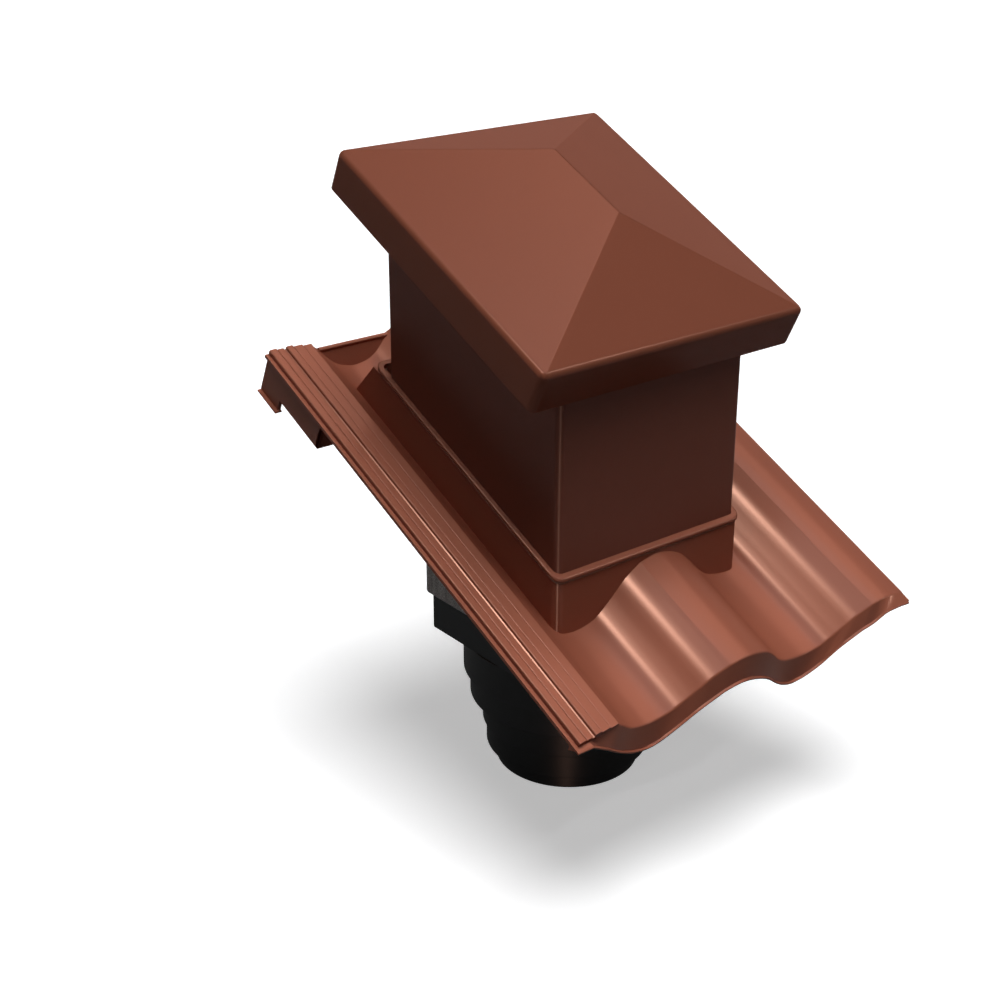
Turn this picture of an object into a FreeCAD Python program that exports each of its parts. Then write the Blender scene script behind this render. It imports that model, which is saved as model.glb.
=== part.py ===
import FreeCAD, Part
import math
import os

from FreeCAD import Placement, Rotation, Vector

# Millimetres. Z is up, X runs across the roof and Y runs up the slope.
# The origin is the centre of the lower end of the duct spigot.
# Shapes of the roof tile and the cap are drawn in the roof plane and then pitched:
# there u runs across from the left edge, s up the slope from the nose and n away from the roof.

# Roof tile
ROOF_PITCH = 25.0
TILE_LENGTH = 395.0
TILE_WALL = 2.5
VENT_AXIS_U = 145.4
VENT_AXIS_UPSLOPE = 178.2
NOSE_ABOVE_COLLAR = 33.0

# Cross-section of the two rolls, as points (u, n) of the upper face between its creases
PAN_LEFT_EDGE = (46.6, -5.7)
PAN_START = (38.5, 0.2)
FIRST_VALLEY = [PAN_LEFT_EDGE, (56.6, -13.6), (66.0, -17.2), (78.0, -18.4), (93.5, -15.2)]
FIRST_FLANK = [(93.5, -15.2), (114.2, -0.3), (135.0, 12.9)]
FIRST_ROLL = [(135.0, 12.9), (149.0, 15.4), (161.3, 13.8), (173.3, 9.2), (183.8, 1.1), (194.5, -8.8),
              (205.1, -14.3), (223.0, -17.0), (240.0, -14.6)]
SECOND_FLANK = [(240.0, -14.6), (253.0, -5.0), (259.5, 0.0), (266.0, 4.9), (279.0, 12.4)]
SECOND_ROLL = [(279.0, 12.4), (286.0, 14.4), (293.0, 15.1), (303.0, 14.2), (313.0, 11.8)]

# Lower edge of the nose, as points (u, n) with the same count in each stretch
LIP_START = [(0.0, -1.4), (13.0, -1.6), (30.4, -13.5)]
LIP_SHOULDER = (40.0, -21.0)
LIP_FIRST_VALLEY = [LIP_SHOULDER, (50.0, -27.5), (61.0, -33.0), (73.5, -35.8), (84.0, -33.8)]
LIP_FIRST_FLANK = [(84.0, -33.8), (104.4, -19.9), (130.0, -3.6)]
LIP_FIRST_ROLL = [(130.0, -3.6), (142.0, -1.0), (153.0, -1.9), (165.8, -6.5), (178.0, -13.5),
                  (191.0, -24.0), (202.6, -31.4), (213.5, -34.8), (226.0, -32.8)]
LIP_SECOND_FLANK = [(226.0, -32.8), (238.5, -26.0), (244.8, -20.0), (251.0, -13.6), (268.4, -2.6)]
LIP_SECOND_ROLL = [(268.4, -2.6), (279.0, 0.9), (285.5, 6.0), (291.0, 8.8), (313.0, 8.4)]
NOSE_ROUND = 6.0
NOSE_LEAN = 66.0
NOSE_DROP = 16.0
NOSE_FACETS = 3
LIP_THICK = 1.5
LIP_REACH = 1.8
LIP_ROOT = 3.2

# Interlock strips on the left edge, as (start, end, height)
STRIPS = [(2.9, 9.3, 3.8), (9.7, 15.6, 2.8), (17.3, 23.2, 3.8), (23.6, 32.0, 2.3), (32.4, 40.4, 0.9)]
STRIP_CHAMFER = 0.7
STRIP_START = 4.0
TOE_LENGTH = 9.5
TOE_SHARE = 0.6
EDGE_LIP = 2.9
RIGHT_LIP_PROUD = 2.0

# Head of the tile
HEAD_WALL = 2.2
HEAD_TOP = -5.0
HEAD_BEAD = 1.8
BATTEN_FACE = -24.8
NIB_FOOT = -35.5
NIB_START = 370.0
BEARING_START = 315.5
NIB_WALL = 3.0
NIB_LIP = 1.4
NIB_LIP_REACH = 2.0

# Box housing
BOX_WIDTH = 167.6
BOX_DEPTH = 192.3
BOX_CENTRE_Y = 13.45
BOX_WALL = 2.5
BOX_CORNER = 5.0
BOX_TOP = 160.0
REAR_COVE = 13.0
REAR_COVE_SAG = 2.2

# Saddle of the tile that carries the box
SADDLE_FIT = 0.3
SADDLE_WALL = 2.5
SADDLE_CORNER = 6.5
SADDLE_REAR_SHELF = 11.8
SADDLE_REAR_LEAN = 45.0
DECK_TOP = 17.0
DECK_THICK = 2.5
BEAD_TOP = 21.8
BEAD_HEIGHT = 4.8
BEAD_PROUD = 1.9
BEAD_CHAMFER = 1.4
SADDLE_ROOT = -30.0

# Cap
CAP_WIDTH = 234.8
CAP_LENGTH = 245.2
CAP_START = 158.5
CAP_UNDER = 139.9
CAP_SKIRT = 29.9
CAP_RISE = 39.1
CAP_FRONT_RUN = 90.0
CAP_REAR_RUN = 82.3
CAP_WALL = 2.5
CAP_CORNER = 5.5
CAP_EAVE_ROUND = 4.5
BOSS_RADIUS = 4.5
BOSS_INSET = 11.5

# Outlet grille between box and cap
GRILLE_THICK = 2.5
GRILLE_UNDER = 143.0
GRILLE_FIT = 0.4
GRILLE_RIM = 4.0
GRILLE_BAR = 2.0
GRILLE_ROWS = 4
GRILLE_COLUMNS = 4
GRILLE_RIB = 4.0
LEDGE_HEIGHT = 2.0
LEDGE_PROUD = 2.6
CLIP_PROUD = 1.6
CLIP_HEIGHT = 4.0
CLIP_WIDTH = 9.0
CLIP_SPREAD = 60.0
CLIP_FIT = 0.3

# Duct adapter: rectangular collar over a stepped round spigot, as (diameter, length) from below
DUCT_STEPS = [(110.0, 13.0), (125.0, 20.0), (131.0, 23.0), (150.0, 22.0), (160.0, 28.0)]
DUCT_WALL = 2.5
COLLAR_WIDTH = 158.0
COLLAR_DEPTH = 134.6
COLLAR_CORNER = 3.0
FLANGE_THICK = 2.5
COLLAR_FIT = 0.5

# Foam seal round the collar
FOAM_THICK = 4.8
FOAM_FIT = 0.3
FOAM_ABOVE_COLLAR = 30.5

# Screws
SCREW_RADIUS = 1.75
SCREW_LENGTH = 9.5
HEAD_RADIUS = 3.2
HEAD_HEIGHT = 2.0
SCREW_BOSS_RADIUS = 3.0
SCREW_BOSS_LENGTH = 6.5
SCREW_SPREAD = 55.0
SCREW_WALL_GAP = 0.4
REAR_SCREW_INSET = 16.0
HEAD_SIDES = 6

SLOPE = math.tan(math.radians(ROOF_PITCH))
COSINE = math.cos(math.radians(ROOF_PITCH))
SINE = math.sin(math.radians(ROOF_PITCH))
SPIGOT_LENGTH = sum(length for _, length in DUCT_STEPS)
NOSE_HEIGHT = SPIGOT_LENGTH + NOSE_ABOVE_COLLAR
FAR = 600.0


def roof(shape):
    """Turns a shape drawn in the roof plane up to the roof's pitch and puts it in place."""
    placed = shape.copy()
    turn = Rotation(Vector(1, 0, 0), ROOF_PITCH)
    nose = Vector(-VENT_AXIS_U, -VENT_AXIS_UPSLOPE, NOSE_HEIGHT)
    placed.Placement = Placement(nose, turn)
    return placed


def roof_height(y, n):
    """Height of the plane n above the roof plane, at the level distance y from the spigot axis."""
    return NOSE_HEIGHT + (y + VENT_AXIS_UPSLOPE) * SLOPE + n / COSINE


def upslope(y, n):
    """Distance s from the nose of the point at the level distance y and the height n."""
    return (y + VENT_AXIS_UPSLOPE + n * SINE) / COSINE


def roof_slab(low, high):
    """Endless slab between two planes parallel to the roof."""
    slab = Part.makeBox(2 * FAR, 2 * FAR, high - low, Vector(VENT_AXIS_U - FAR, -FAR / 2, low))
    return roof(slab)


def is_upright(edge):
    """Whether an edge runs along Z."""
    return abs(edge.tangentAt(edge.FirstParameter).z) > COSINE


def round_corners(block, radius):
    """Rounds the upright corners of a block."""
    return block.makeFillet(radius, [edge for edge in block.Edges if is_upright(edge)])


def upright(width, front, back, corner, low=0.0, high=FAR):
    """Upright prism centred on X, with rounded upright corners."""
    block = Part.makeBox(width, back - front, high - low, Vector(-width / 2, front, low))
    return round_corners(block, corner)


def curve(points, s):
    """Edges through points (u, n) at the distance s: an arc through each three, or a line."""
    ends = [Vector(u, s, n) for u, n in points]
    if len(ends) == 2:
        return [Part.makeLine(*ends)]
    return [Part.Arc(*ends[first:first + 3]).toShape() for first in range(0, len(ends) - 1, 2)]


def line(start, end, s):
    """Straight edge between two points (u, n)."""
    return Part.makeLine(Vector(start[0], s, start[1]), Vector(end[0], s, end[1]))


def roll_points():
    """Stretches of the tile's upper face, from the left edge to the right one."""
    outer, inner = [(u, PAN_START[1]) for u, _ in LIP_START[:2]]
    return [[outer, inner], [inner, PAN_START], [PAN_START, PAN_LEFT_EDGE], FIRST_VALLEY, FIRST_FLANK,
            FIRST_ROLL, SECOND_FLANK, SECOND_ROLL]


def lip_points():
    """The same stretches along the lower edge of the nose."""
    return [LIP_START[:2], LIP_START[1:], [LIP_START[-1], LIP_SHOULDER], LIP_FIRST_VALLEY,
            LIP_FIRST_FLANK, LIP_FIRST_ROLL, LIP_SECOND_FLANK, LIP_SECOND_ROLL]


def between(share, drop=0.0):
    """Stretches part of the way from the upper face to the lip, moved down by drop."""
    blend = []
    for top, lip in zip(roll_points(), lip_points()):
        stretch = []
        for (u0, n0), (u1, n1) in zip(top, lip):
            stretch.append((u0 + share * (u1 - u0), n0 + share * (n1 - n0) - drop))
        blend.append(stretch)
    return blend


def section(upper, lower, s):
    """Closed wire between two lines of stretches at the distance s."""
    edges = [edge for points in upper + lower for edge in curve(points, s)]
    edges.append(line(upper[-1][-1], lower[-1][-1], s))
    edges.append(line(upper[0][0], lower[0][0], s))
    return Part.Wire(Part.__sortEdges__(edges))


def sheet(thick, start, end):
    """The moulded sheet of the tile between two distances from the nose."""
    wire = section(between(0.0), between(0.0, thick), start)
    return Part.Face(wire).extrude(Vector(0, end - start, 0))


def nose_start():
    """Distance from the tip at which the nose begins to round over."""
    return LIP_REACH + NOSE_ROUND * math.sin(math.radians(NOSE_LEAN)) + nose_run()


def nose_run():
    """Level run of the straight part of the nose below its rounding."""
    rounded = NOSE_ROUND * (1 - math.cos(math.radians(NOSE_LEAN)))
    return (NOSE_DROP - rounded) / math.tan(math.radians(NOSE_LEAN))


def nose():
    """Front of the tile: it rounds over, drops and ends in a thin turned-out lip."""
    wires = []
    for part in range(NOSE_FACETS + 1):
        angle = math.radians(NOSE_LEAN * part / NOSE_FACETS)
        share = NOSE_ROUND * (1 - math.cos(angle)) / NOSE_DROP
        s = nose_start() - NOSE_ROUND * math.sin(angle)
        thick = TILE_WALL / math.cos(angle)
        wires.append(section(between(share), between(share, thick), s))
    rounding = Part.makeLoft(wires, True, True)
    foot = section(between(1.0, -LIP_THICK), between(1.0, LIP_THICK), LIP_REACH)
    drop = Part.makeLoft([wires[-1], foot], True, True)
    edge = section(between(1.0, -LIP_THICK), between(1.0), 0.0)
    lip = Part.Face(edge).extrude(Vector(0, LIP_ROOT, 0))
    return [rounding, drop, lip]


def strip_outline(base):
    """Closed outline of the interlock strips over a flat base."""
    points = [Vector(STRIPS[0][0], 0, base)]
    for start, end, height in STRIPS:
        floor = height - 2 * STRIP_CHAMFER
        points.append(Vector(start, 0, floor))
        points.append(Vector(start, 0, height - STRIP_CHAMFER))
        points.append(Vector(start + STRIP_CHAMFER, 0, height))
        points.append(Vector(end - STRIP_CHAMFER / 2, 0, height))
        points.append(Vector(end, 0, height - STRIP_CHAMFER / 2))
        points.append(Vector(end, 0, floor))
    points.append(Vector(STRIPS[-1][1], 0, base))
    points.append(points[0])
    return Part.Face(Part.makePolygon(points))


def strips():
    """Interlock strips and the solid toe that they end in above the lip."""
    outline = strip_outline(PAN_START[1] - TILE_WALL / 2)
    ribs = outline.extrude(Vector(0, TILE_LENGTH - STRIP_START, 0))
    ribs.translate(Vector(0, STRIP_START, 0))
    outer, inner = between(TOE_SHARE)[:2]
    under = [outer[0], outer[1], inner[1], (inner[1][0], PAN_START[1]), (outer[0][0], PAN_START[1])]
    corners = [Vector(u, STRIP_START, n) for u, n in under]
    toe = Part.Face(Part.makePolygon(corners + [corners[0]])).extrude(Vector(0, TOE_LENGTH, 0))
    return [ribs, toe]


def under_tile():
    """Everything below the tile's lower face, in the roof plane."""
    lower = between(0.0, TILE_WALL / 2)
    edges = [edge for points in lower for edge in curve(points, 0)]
    left = (lower[0][0][0], -FAR)
    right = (lower[-1][-1][0], -FAR)
    edges.append(line(lower[-1][-1], right, 0))
    edges.append(line(right, left, 0))
    edges.append(line(left, lower[0][0], 0))
    face = Part.Face(Part.Wire(Part.__sortEdges__(edges)))
    return face.extrude(Vector(0, TILE_LENGTH, 0))


def head():
    """End wall that closes the valleys at the head, with the bead along its top."""
    start = PAN_LEFT_EDGE[0]
    length = SECOND_FLANK[-1][0] - start
    wall = Part.makeBox(length, HEAD_WALL, HEAD_TOP - SADDLE_ROOT,
                        Vector(start, TILE_LENGTH - HEAD_WALL, SADDLE_ROOT))
    under = under_tile()
    wall = wall.cut(under)
    bead = Part.makeCylinder(HEAD_BEAD, length,
                             Vector(start, TILE_LENGTH - HEAD_BEAD, HEAD_TOP - HEAD_BEAD / 2),
                             Vector(1, 0, 0))
    return [wall, bead.cut(under)]


def nib_plate(u):
    """Upright plate under the head: its notch drops over the batten."""
    points = [(TILE_LENGTH, FAR), (TILE_LENGTH, NIB_FOOT), (NIB_START, NIB_FOOT),
              (NIB_START, BATTEN_FACE), (BEARING_START, BATTEN_FACE), (BEARING_START, FAR)]
    corners = [Vector(u, s, n) for s, n in points]
    return Part.Face(Part.makePolygon(corners + [corners[0]])).extrude(Vector(NIB_WALL, 0, 0))


def nib_foot(u):
    """Turned-out lip along the foot of a nib plate."""
    start = NIB_START - NIB_LIP_REACH
    return Part.makeBox(EDGE_LIP + NIB_WALL, TILE_LENGTH - start, NIB_LIP, Vector(u, start, NIB_FOOT))


def nibs():
    """Nib plates under both edges and the roll, and the bearing wall across."""
    under = under_tile()
    end = SECOND_ROLL[-1][0]
    across = Part.makeBox(end - EDGE_LIP, NIB_WALL, FAR, Vector(EDGE_LIP, BEARING_START, BATTEN_FACE))
    shapes = [across.common(under)]
    for u in (EDGE_LIP, VENT_AXIS_U):
        shapes += [nib_plate(u).common(under), nib_foot(u - EDGE_LIP)]
    last = end - EDGE_LIP - NIB_WALL
    return shapes + [nib_plate(last).common(under), nib_foot(last)]


def saddle_side(inset):
    """Side outline of the saddle with its upright front and leaning back, inset by a wall."""
    front = saddle_front() + inset
    back = saddle_back() - inset
    lean = math.tan(math.radians(SADDLE_REAR_LEAN))
    top = roof_height(back, BEAD_TOP)
    low = SPIGOT_LENGTH
    points = [Vector(0, front, low), Vector(0, front, roof_height(front, BEAD_TOP)),
              Vector(0, back, top), Vector(0, back + (top - low) * lean, low)]
    return Part.Face(Part.makePolygon(points + [points[0]]))


def saddle_front():
    """Outer front face of the saddle."""
    return BOX_CENTRE_Y - BOX_DEPTH / 2 - SADDLE_FIT - SADDLE_WALL


def saddle_back():
    """Outer back edge of the saddle at its top."""
    return BOX_CENTRE_Y + BOX_DEPTH / 2 + SADDLE_REAR_SHELF


def saddle_width():
    """Outer width of the saddle."""
    return BOX_WIDTH + 2 * (SADDLE_FIT + SADDLE_WALL)


def saddle_block(inset, corner):
    """Solid block of the saddle, inset by a wall."""
    width = saddle_width() - 2 * inset
    face = saddle_side(inset)
    block = face.extrude(Vector(width, 0, 0))
    block.translate(Vector(-width / 2, 0, 0))
    return round_corners(block, corner)


def bead_ring():
    """Bead round the top of the saddle, a band with both rims chamfered."""
    width = saddle_width() + 2 * BEAD_PROUD
    block = upright(width, saddle_front() - BEAD_PROUD, saddle_back() + BEAD_PROUD,
                    SADDLE_CORNER + BEAD_PROUD)
    band = block.common(roof_slab(BEAD_TOP - BEAD_HEIGHT, BEAD_TOP))
    return band.makeChamfer(BEAD_CHAMFER, [edge for edge in band.Edges if not is_upright(edge)])


def box_recess():
    """Room for the foot of the box inside the bead."""
    front = BOX_CENTRE_Y - BOX_DEPTH / 2 - SADDLE_FIT
    back = saddle_back() - SADDLE_WALL
    block = upright(BOX_WIDTH + 2 * SADDLE_FIT, front, back, BOX_CORNER + SADDLE_FIT)
    return block.common(roof_slab(DECK_TOP, FAR))


def collar_block(grow, low=0.0, high=FAR):
    """Upright block of the duct collar's outer form, grown on all sides."""
    return upright(COLLAR_WIDTH + 2 * grow, -COLLAR_DEPTH / 2 - grow, COLLAR_DEPTH / 2 + grow,
                   COLLAR_CORNER + grow, low, high)


def screw_places():
    """Places of the adapter's screws on the deck, as (x, y) at the deck's upper face."""
    head = HEAD_RADIUS * COSINE + (FLANGE_THICK + HEAD_HEIGHT) * SINE
    front = BOX_CENTRE_Y - BOX_DEPTH / 2 + BOX_WALL + SCREW_WALL_GAP + head
    rear = BOX_CENTRE_Y + BOX_DEPTH / 2 - REAR_SCREW_INSET
    return [(x, y) for y in (front, rear) for x in (-SCREW_SPREAD, SCREW_SPREAD)]


def roof_normal():
    """Direction square to the roof."""
    return Vector(0, -SINE, COSINE)


def deck_point(x, y, n):
    """Point over the place (x, y) of the deck's upper face, moved along the roof's normal."""
    foot = Vector(x, y, roof_height(y, DECK_TOP))
    return foot + roof_normal() * (n - DECK_TOP)


def tile_pan():
    """The moulded tile: rolls, nose, interlock strips, saddle with deck, head wall and nibs."""
    body = sheet(TILE_WALL, nose_start(), TILE_LENGTH)
    tile = roof(body.multiFuse(nose() + strips() + head() + nibs() + [right_edge()]))
    saddle = saddle_block(0.0, SADDLE_CORNER).common(roof_slab(SADDLE_ROOT, DECK_TOP))
    saddle = saddle.cut(roof(under_tile()))
    hollow = saddle_block(SADDLE_WALL, SADDLE_CORNER - SADDLE_WALL)
    hollow = hollow.common(roof_slab(-FAR, DECK_TOP - DECK_THICK))
    bosses = []
    for x, y in screw_places():
        end = deck_point(x, y, DECK_TOP - DECK_THICK - SCREW_BOSS_LENGTH)
        bosses.append(Part.makeCylinder(SCREW_BOSS_RADIUS, SCREW_BOSS_LENGTH + DECK_THICK / 2, end,
                                        roof_normal()))
    tile = tile.multiFuse([saddle, bead_ring()]).cut(hollow).multiFuse(bosses)
    tile = tile.cut(collar_block(COLLAR_FIT)).cut(box_recess())
    return tile.cut(adapter_screws()).removeSplitter()


def right_edge():
    """Turned-out lip under the right edge."""
    edge, height = LIP_SECOND_ROLL[-1]
    return Part.makeBox(EDGE_LIP + RIGHT_LIP_PROUD, TILE_LENGTH - LIP_REACH, LIP_THICK,
                        Vector(edge - EDGE_LIP, LIP_REACH, height))


def box_block(inset, corner):
    """Upright block of the box housing, inset by a wall."""
    front = BOX_CENTRE_Y - BOX_DEPTH / 2 + inset
    back = BOX_CENTRE_Y + BOX_DEPTH / 2 - inset
    return upright(BOX_WIDTH - 2 * inset, front, back, corner)


def rear_cove():
    """Hollow-curved flare at the rear foot of the box, which throws water off the shelf."""
    wall = BOX_CENTRE_Y + BOX_DEPTH / 2 - BOX_WALL / 2
    end = saddle_back() - SADDLE_WALL - SADDLE_FIT
    outer = BOX_CENTRE_Y + BOX_DEPTH / 2
    top = Vector(0, outer, roof_height(outer, BEAD_TOP) + REAR_COVE)
    tip = Vector(0, end, roof_height(end, BEAD_TOP))
    chord = (top + tip) * 0.5
    sag = (Vector(0, outer, tip.z) - chord).normalize() * REAR_COVE_SAG
    rest = [tip, Vector(0, end, roof_height(end, DECK_TOP)),
            Vector(0, wall, roof_height(wall, DECK_TOP)), Vector(0, wall, top.z), top]
    edges = [Part.Arc(top, chord + sag, tip).toShape()]
    edges += [Part.makeLine(start, stop) for start, stop in zip(rest, rest[1:])]
    face = Part.Face(Part.Wire(edges))
    cove = face.extrude(Vector(BOX_WIDTH - 2 * BOX_CORNER, 0, 0))
    cove.translate(Vector(-BOX_WIDTH / 2 + BOX_CORNER, 0, 0))
    return cove


def clips():
    """Ramped clips on both sides of the box, which hold the grille down on its ledge."""
    low = GRILLE_UNDER + GRILLE_THICK + CLIP_FIT
    centre = upslope(BOX_CENTRE_Y, low)
    shapes = []
    for side in (-1, 1):
        root = VENT_AXIS_U + side * (BOX_WIDTH - BOX_WALL) / 2
        tip = VENT_AXIS_U + side * (BOX_WIDTH / 2 + CLIP_PROUD)
        for offset in (-CLIP_SPREAD, CLIP_SPREAD):
            s = centre + offset - CLIP_WIDTH / 2
            points = [Vector(root, s, low), Vector(tip, s, low), Vector(root, s, low + CLIP_HEIGHT)]
            wedge = Part.Face(Part.makePolygon(points + [points[0]]))
            shapes.append(roof(wedge.extrude(Vector(0, CLIP_WIDTH, 0))))
    return shapes


def box_housing():
    """Upright sleeve with its rear cove, the ledge under the grille and the clips above it."""
    sleeve = box_block(0.0, BOX_CORNER)
    ledge = box_block(-LEDGE_PROUD, BOX_CORNER + LEDGE_PROUD)
    ledge = ledge.common(roof_slab(GRILLE_UNDER - LEDGE_HEIGHT, GRILLE_UNDER))
    sleeve = sleeve.common(roof_slab(DECK_TOP, BOX_TOP))
    body = sleeve.multiFuse([ledge, rear_cove()] + clips())
    return body.cut(box_block(BOX_WALL, BOX_CORNER - BOX_WALL)).removeSplitter()


def rounded(points, radii):
    """Closed face through points with an arc of its own radius at each corner."""
    edges = []
    ends = []
    count = len(points)
    for index in range(count):
        corner = points[index]
        before = (points[index - 1] - corner).normalize()
        after = (points[(index + 1) % count] - corner).normalize()
        half = before.getAngle(after) / 2
        reach = radii[index] / math.tan(half)
        middle = (before + after).normalize()
        start = corner + before * reach
        end = corner + after * reach
        ends.append((start, end))
        if radii[index]:
            centre = corner + middle * (radii[index] / math.sin(half))
            edges.append(Part.Arc(start, centre - middle * radii[index], end).toShape())
    for index in range(count):
        edges.append(Part.makeLine(ends[index - 1][1], ends[index][0]))
    return Part.Face(Part.Wire(Part.__sortEdges__(edges)))


def hip_outline(first, last, first_run, last_run, inset):
    """Points (place, n) of the cap's outline seen from one side, inset by a wall."""
    eave = CAP_UNDER + CAP_SKIRT
    low = CAP_UNDER - inset
    points = [(first + inset, low), (last - inset, low)]
    for place, run, sign in ((last, last_run, -1), (first, first_run, 1)):
        down = inset * math.hypot(run, CAP_RISE) / run
        at_eave = (place + sign * inset, eave + inset * CAP_RISE / run - down)
        at_ridge = (place + sign * run, eave + CAP_RISE - down)
        points += [at_eave, at_ridge] if sign < 0 else [at_ridge, at_eave]
    return points


def hip_block(inset):
    """Solid hipped block of the cap with rounded eaves and corners, inset by a wall."""
    half = CAP_WIDTH / 2
    left = VENT_AXIS_U - half
    end = CAP_START + CAP_LENGTH
    round_eave = CAP_EAVE_ROUND - inset
    across = hip_outline(left, left + CAP_WIDTH, half, half, inset)
    across.pop(3)
    gable = rounded([Vector(u, CAP_START, n) for u, n in across], [0, 0, round_eave, 0, round_eave])
    along = hip_outline(CAP_START, end, CAP_FRONT_RUN, CAP_REAR_RUN, inset)
    hips = rounded([Vector(left, s, n) for s, n in along], [0, 0, round_eave, 0, 0, round_eave])
    block = gable.extrude(Vector(0, CAP_LENGTH, 0)).common(hips.extrude(Vector(CAP_WIDTH, 0, 0)))
    plan = Part.makeBox(CAP_WIDTH - 2 * inset, CAP_LENGTH - 2 * inset, FAR,
                        Vector(left + inset, CAP_START + inset, 0))
    return block.common(round_corners(plan, CAP_CORNER - inset))


def boss_places():
    """Places of the cap's four bosses in the roof plane, as (u, s)."""
    half = CAP_WIDTH / 2 - BOSS_INSET
    start = CAP_START + BOSS_INSET
    end = CAP_START + CAP_LENGTH - BOSS_INSET
    return [(VENT_AXIS_U + x, s) for s in (start, end) for x in (-half, half)]


def cap_hood():
    """Hipped cap with its skirt and four screw bosses inside."""
    outer = hip_block(0.0)
    shell = outer.cut(hip_block(CAP_WALL))
    foot = GRILLE_UNDER + GRILLE_THICK
    height = CAP_SKIRT + CAP_RISE
    bosses = [Part.makeCylinder(BOSS_RADIUS, height, Vector(u, s, foot)) for u, s in boss_places()]
    shell = shell.multiFuse([boss.common(outer) for boss in bosses])
    return roof(shell.cut(screws_under_cap())).removeSplitter()


def outlet_grille():
    """Slotted frame in the gap between box and skirt, which carries the cap."""
    gap = CAP_WALL + GRILLE_FIT
    u = VENT_AXIS_U - CAP_WIDTH / 2 + gap
    width = CAP_WIDTH - 2 * gap
    depth = CAP_LENGTH - 2 * gap
    plate = Part.makeBox(width, depth, GRILLE_THICK, Vector(u, CAP_START + gap, GRILLE_UNDER))
    plate = round_corners(plate, CAP_CORNER - CAP_WALL)
    field = (CAP_WIDTH - BOX_WIDTH) / 2 - gap - GRILLE_FIT - 2 * GRILLE_RIM
    slot = (field - (GRILLE_ROWS - 1) * GRILLE_BAR) / GRILLE_ROWS
    room = CAP_LENGTH - 4 * BOSS_INSET
    length = (room - (GRILLE_COLUMNS - 1) * GRILLE_RIB) / GRILLE_COLUMNS
    slots = []
    for column in range(GRILLE_COLUMNS):
        s = CAP_START + 2 * BOSS_INSET + column * (length + GRILLE_RIB)
        for row in range(GRILLE_ROWS):
            aside = GRILLE_RIM + row * (slot + GRILLE_BAR)
            for start in (u + aside, u + width - aside - slot):
                slots.append(Part.makeBox(slot, length, 2 * GRILLE_THICK,
                                          Vector(start, s, GRILLE_UNDER - GRILLE_THICK / 2)))
    plate = plate.cut(Part.makeCompound(slots)).cut(screws_under_cap())
    return roof(plate).cut(box_block(-GRILLE_FIT, BOX_CORNER + GRILLE_FIT))


def stepped(inset):
    """Stack of the spigot's round steps; inset by a wall, it is the bore through them."""
    tubes = []
    z = 0.0
    for diameter, length in DUCT_STEPS:
        low = z + inset if z else -inset
        high = z + length + inset
        tubes.append(Part.makeCylinder(diameter / 2 - inset, high - low, Vector(0, 0, low)))
        z += length
    return tubes[0].multiFuse(tubes[1:]).removeSplitter()


def spigot_adapter():
    """Black duct adapter: stepped spigot, shoulder plate, collar and pitched flange."""
    top = SPIGOT_LENGTH + DUCT_WALL
    shoulder = Part.makeCylinder((DUCT_STEPS[-1][0] - DUCT_WALL) / 2, DUCT_WALL,
                                 Vector(0, 0, SPIGOT_LENGTH))
    outer = collar_block(0.0, SPIGOT_LENGTH)
    outer = outer.common(roof_slab(-FAR, DECK_TOP + FLANGE_THICK))
    flange = box_block(BOX_WALL + COLLAR_FIT, BOX_CORNER - BOX_WALL)
    flange = flange.common(roof_slab(DECK_TOP, DECK_TOP + FLANGE_THICK))
    body = stepped(0.0).multiFuse([shoulder, outer, flange])
    room = collar_block(-DUCT_WALL, top)
    plate = Part.makeBox(FAR, FAR, DUCT_WALL, Vector(-FAR / 2, -FAR / 2, SPIGOT_LENGTH))
    bore = stepped(DUCT_WALL).cut(plate.cut(collar_block(-DUCT_WALL)))
    return body.cut(bore).cut(room).cut(adapter_screws()).removeSplitter()


def foam_seal():
    """Foam wrapped round the collar, up to the screw bosses under the deck."""
    low = SPIGOT_LENGTH + FOAM_ABOVE_COLLAR
    top = DECK_TOP - DECK_THICK - SCREW_BOSS_LENGTH - FOAM_FIT
    outer = collar_block(FOAM_THICK, low).common(roof_slab(-FAR, top))
    return outer.cut(collar_block(FOAM_FIT, low))


def screw():
    """Self-tapping screw along +Z with its hexagon head's underside at the origin."""
    shank = Part.makeCylinder(SCREW_RADIUS, SCREW_LENGTH)
    corners = []
    for part in range(HEAD_SIDES + 1):
        angle = 2 * math.pi * part / HEAD_SIDES
        corners.append(Vector(HEAD_RADIUS * math.cos(angle), HEAD_RADIUS * math.sin(angle), -HEAD_HEIGHT))
    head = Part.Face(Part.makePolygon(corners)).extrude(Vector(0, 0, HEAD_HEIGHT))
    return shank.fuse(head)


def adapter_screws():
    """Screws that hold the adapter's flange on the deck, driven down square to the roof."""
    shapes = []
    for x, y in screw_places():
        shape = screw()
        turn = Rotation(Vector(1, 0, 0), ROOF_PITCH + 180.0)
        shape.Placement = Placement(deck_point(x, y, DECK_TOP + FLANGE_THICK), turn)
        shapes.append(shape)
    return Part.makeCompound(shapes)


def screws_under_cap():
    """Screws that go up through the grille into the cap's bosses, in the roof plane."""
    shapes = []
    for u, s in boss_places():
        shape = screw()
        shape.translate(Vector(u, s, GRILLE_UNDER))
        shapes.append(shape)
    return Part.makeCompound(shapes)


def cap_screws():
    """The cap's screws, in place."""
    return roof(screws_under_cap())


PIECES = {
    "tile_pan": tile_pan,
    "box_housing": box_housing,
    "cap_hood": cap_hood,
    "outlet_grille": outlet_grille,
    "spigot_adapter": spigot_adapter,
    "foam_seal": foam_seal,
    "adapter_screws": adapter_screws,
    "cap_screws": cap_screws,
}


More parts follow.
